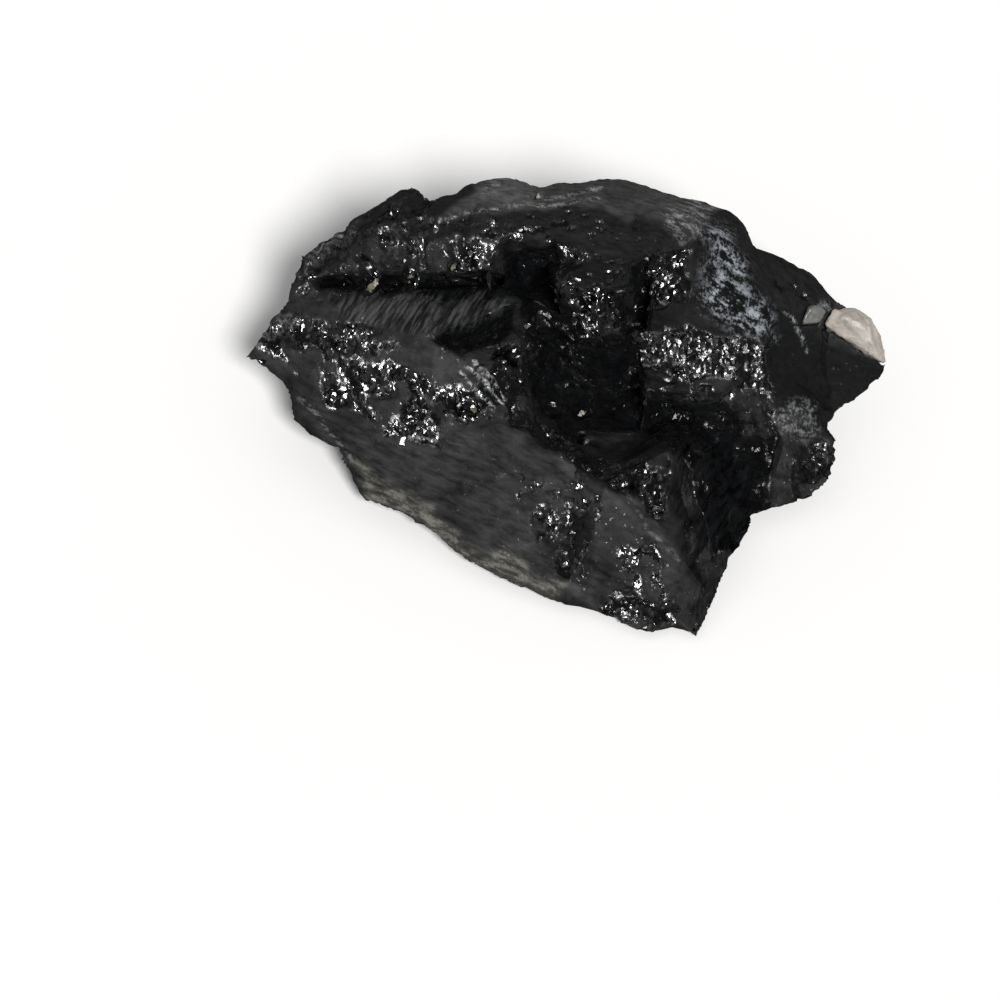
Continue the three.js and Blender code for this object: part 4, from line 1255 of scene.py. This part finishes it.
FLOOR_WHITE = 0.9  # as the eye sees it
THROWN_GREY = 0.5  # for the light that the floor throws back
MIRRORED_GREY = 0.16  # for the floor in reflections
LEAST_SKY = 0.03  # of the surroundings in reflections
GLOW_NEARNESS = (0.75, 1.0)  # cosines of the way from the key light, from the glow's edge to it
KEY_COLOUR = (1.0, 0.99, 0.975)
SENSOR_WIDTH = 36  # of the camera, in its own millimetres


def add_key_light(way, spread, strength):
    """An even light that comes from far away along a direction, as soft as its spread."""
    light = bpy.data.lights.new("key", "SUN")
    light.angle = spread
    light.energy = strength
    light.color = KEY_COLOUR
    lamp = bpy.data.objects.new("key", light)
    lamp.rotation_euler = Vector(way).to_track_quat("Z", "Y").to_euler()
    bpy.context.scene.collection.objects.link(lamp)


def floor_object(size):
    """A square pale floor at height zero. It is matt and white to the eye, grey for the light
    that it throws back at the specimen, and darker still in its reflections."""
    half = size / 2
    corners = np.array([[-half, -half, 0], [half, -half, 0], [half, half, 0], [-half, half, 0]])
    material, tree, white = new_material("floor_white")
    white.inputs["Base Color"].default_value = (FLOOR_WHITE, FLOOR_WHITE, FLOOR_WHITE, 1)
    white.inputs["Roughness"].default_value = 0.9
    white.inputs["Specular IOR Level"].default_value = 0.0
    rays = add_node(tree, "ShaderNodeLightPath")
    shades = [add_node(tree, "ShaderNodeBsdfDiffuse", Color=(grey, grey, grey, 1))[0]
              for grey in (THROWN_GREY, MIRRORED_GREY)]
    thrown = add_node(tree, "ShaderNodeMixShader", rays["Is Glossy Ray"], *shades)[0]
    mixed = add_node(tree, "ShaderNodeMixShader", rays["Is Camera Ray"], thrown, white.outputs[0])
    tree.links.new(mixed[0], tree.nodes["Material Output"].inputs["Surface"])
    return mesh_object("floor", corners, np.array([[0, 1, 2], [0, 2, 3]]), [material])


def studio_world(settings, key_way):
    """Surroundings that are white to the eye and even as light. In reflections they are brighter
    on the left than on the right: the mirrored sky less the slant times how far right a
    direction points. Round the key light they glow: an eased share of how near to its way a
    direction points."""
    world = bpy.data.worlds.new("studio")
    world.use_nodes = True
    tree = world.node_tree
    background = tree.nodes["Background"]
    background.inputs["Color"].default_value = (1, 1, 1, 1)
    way = add_node(tree, "ShaderNodeTexCoord")["Generated"]
    rightness = add_node(tree, "ShaderNodeSeparateXYZ", way)["X"]
    slanted = math_node(tree, "MULTIPLY_ADD", rightness, -settings.mirrored_slant,
                        settings.mirrored_sky)
    nearness = vector_node(tree, "DOT_PRODUCT", way, key_way)
    halo = range_node(tree, nearness, GLOW_NEARNESS, (0.0, settings.glow), "SMOOTHSTEP")
    mirrored = math_node(tree, "ADD", math_node(tree, "MAXIMUM", slanted, LEAST_SKY), halo)
    rays = add_node(tree, "ShaderNodeLightPath")
    light = add_node(tree, "ShaderNodeMix", Factor=rays["Is Glossy Ray"], A=settings.sky, B=mirrored)
    strength = math_node(tree, "MAXIMUM", light["Result"], rays["Is Camera Ray"])
    tree.links.new(strength, background.inputs["Strength"])
    return world


class SPECIMEN_OT_stage(bpy.types.Operator):
    """Sets the floor, the lights and the camera"""

    bl_idname = "specimen.stage"
    bl_label = "Stage"

    def execute(self, context):
        settings = context.scene.specimen_stage
        floor_object(settings.floor_size)
        level = math.cos(settings.key_height)
        key_way = (math.sin(settings.key_turn) * level, -math.cos(settings.key_turn) * level,
                   math.sin(settings.key_height))
        context.scene.world = studio_world(settings, key_way)
        add_key_light(key_way, settings.key_spread, settings.key_strength)
        camera = bpy.data.cameras.new("camera")
        camera.sensor_width = SENSOR_WIDTH
        camera.lens = camera.sensor_width * STEPS_PER_METRE * SIGHT_DISTANCE / SIGHT_SPAN
        eye = bpy.data.objects.new("camera", camera)
        eye.location = EYE
        eye.rotation_euler = Vector(SIGHT_FORWARD).to_track_quat("-Z", "Y").to_euler()
        context.scene.collection.objects.link(eye)
        context.scene.camera = eye
        context.scene.view_settings.view_transform = "Standard"
        context.scene.view_settings.look = "None"
        return {"FINISHED"}


class SPECIMEN_PT_panel(bpy.types.Panel):
    """Lists the operators of the specimen"""

    bl_label = "Tourmaline Specimen"
    bl_idname = "SPECIMEN_PT_panel"
    bl_space_type = "VIEW_3D"
    bl_region_type = "UI"
    bl_category = "Specimen"

    def draw(self, context):
        for operator in OPERATORS:
            self.layout.operator(operator.bl_idname)


OPERATORS = (
    SPECIMEN_OT_stage,
    SPECIMEN_OT_tourmaline,
    SPECIMEN_OT_chips,
    SPECIMEN_OT_feldspar,
)
SETTINGS = {
    "specimen_skin": SkinSettings,
    "specimen_chips": ChipSettings,
    "specimen_feldspar": FeldsparSettings,
    "specimen_stage": StageSettings,
}


def register():
    for group in (*SETTINGS.values(), *OPERATORS, SPECIMEN_PT_panel):
        bpy.utils.register_class(group)
    for name, group in SETTINGS.items():
        setattr(bpy.types.Scene, name, PointerProperty(type=group))


def unregister():
    for name in SETTINGS:
        delattr(bpy.types.Scene, name)
    for group in reversed((*SETTINGS.values(), *OPERATORS, SPECIMEN_PT_panel)):
        bpy.utils.unregister_class(group)


def main():
    """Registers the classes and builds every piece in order."""
    register()
    bpy.ops.specimen.stage()
    bpy.ops.specimen.tourmaline()
    bpy.ops.specimen.chips()
    bpy.ops.specimen.feldspar()


if __name__ == "__main__":
    main()
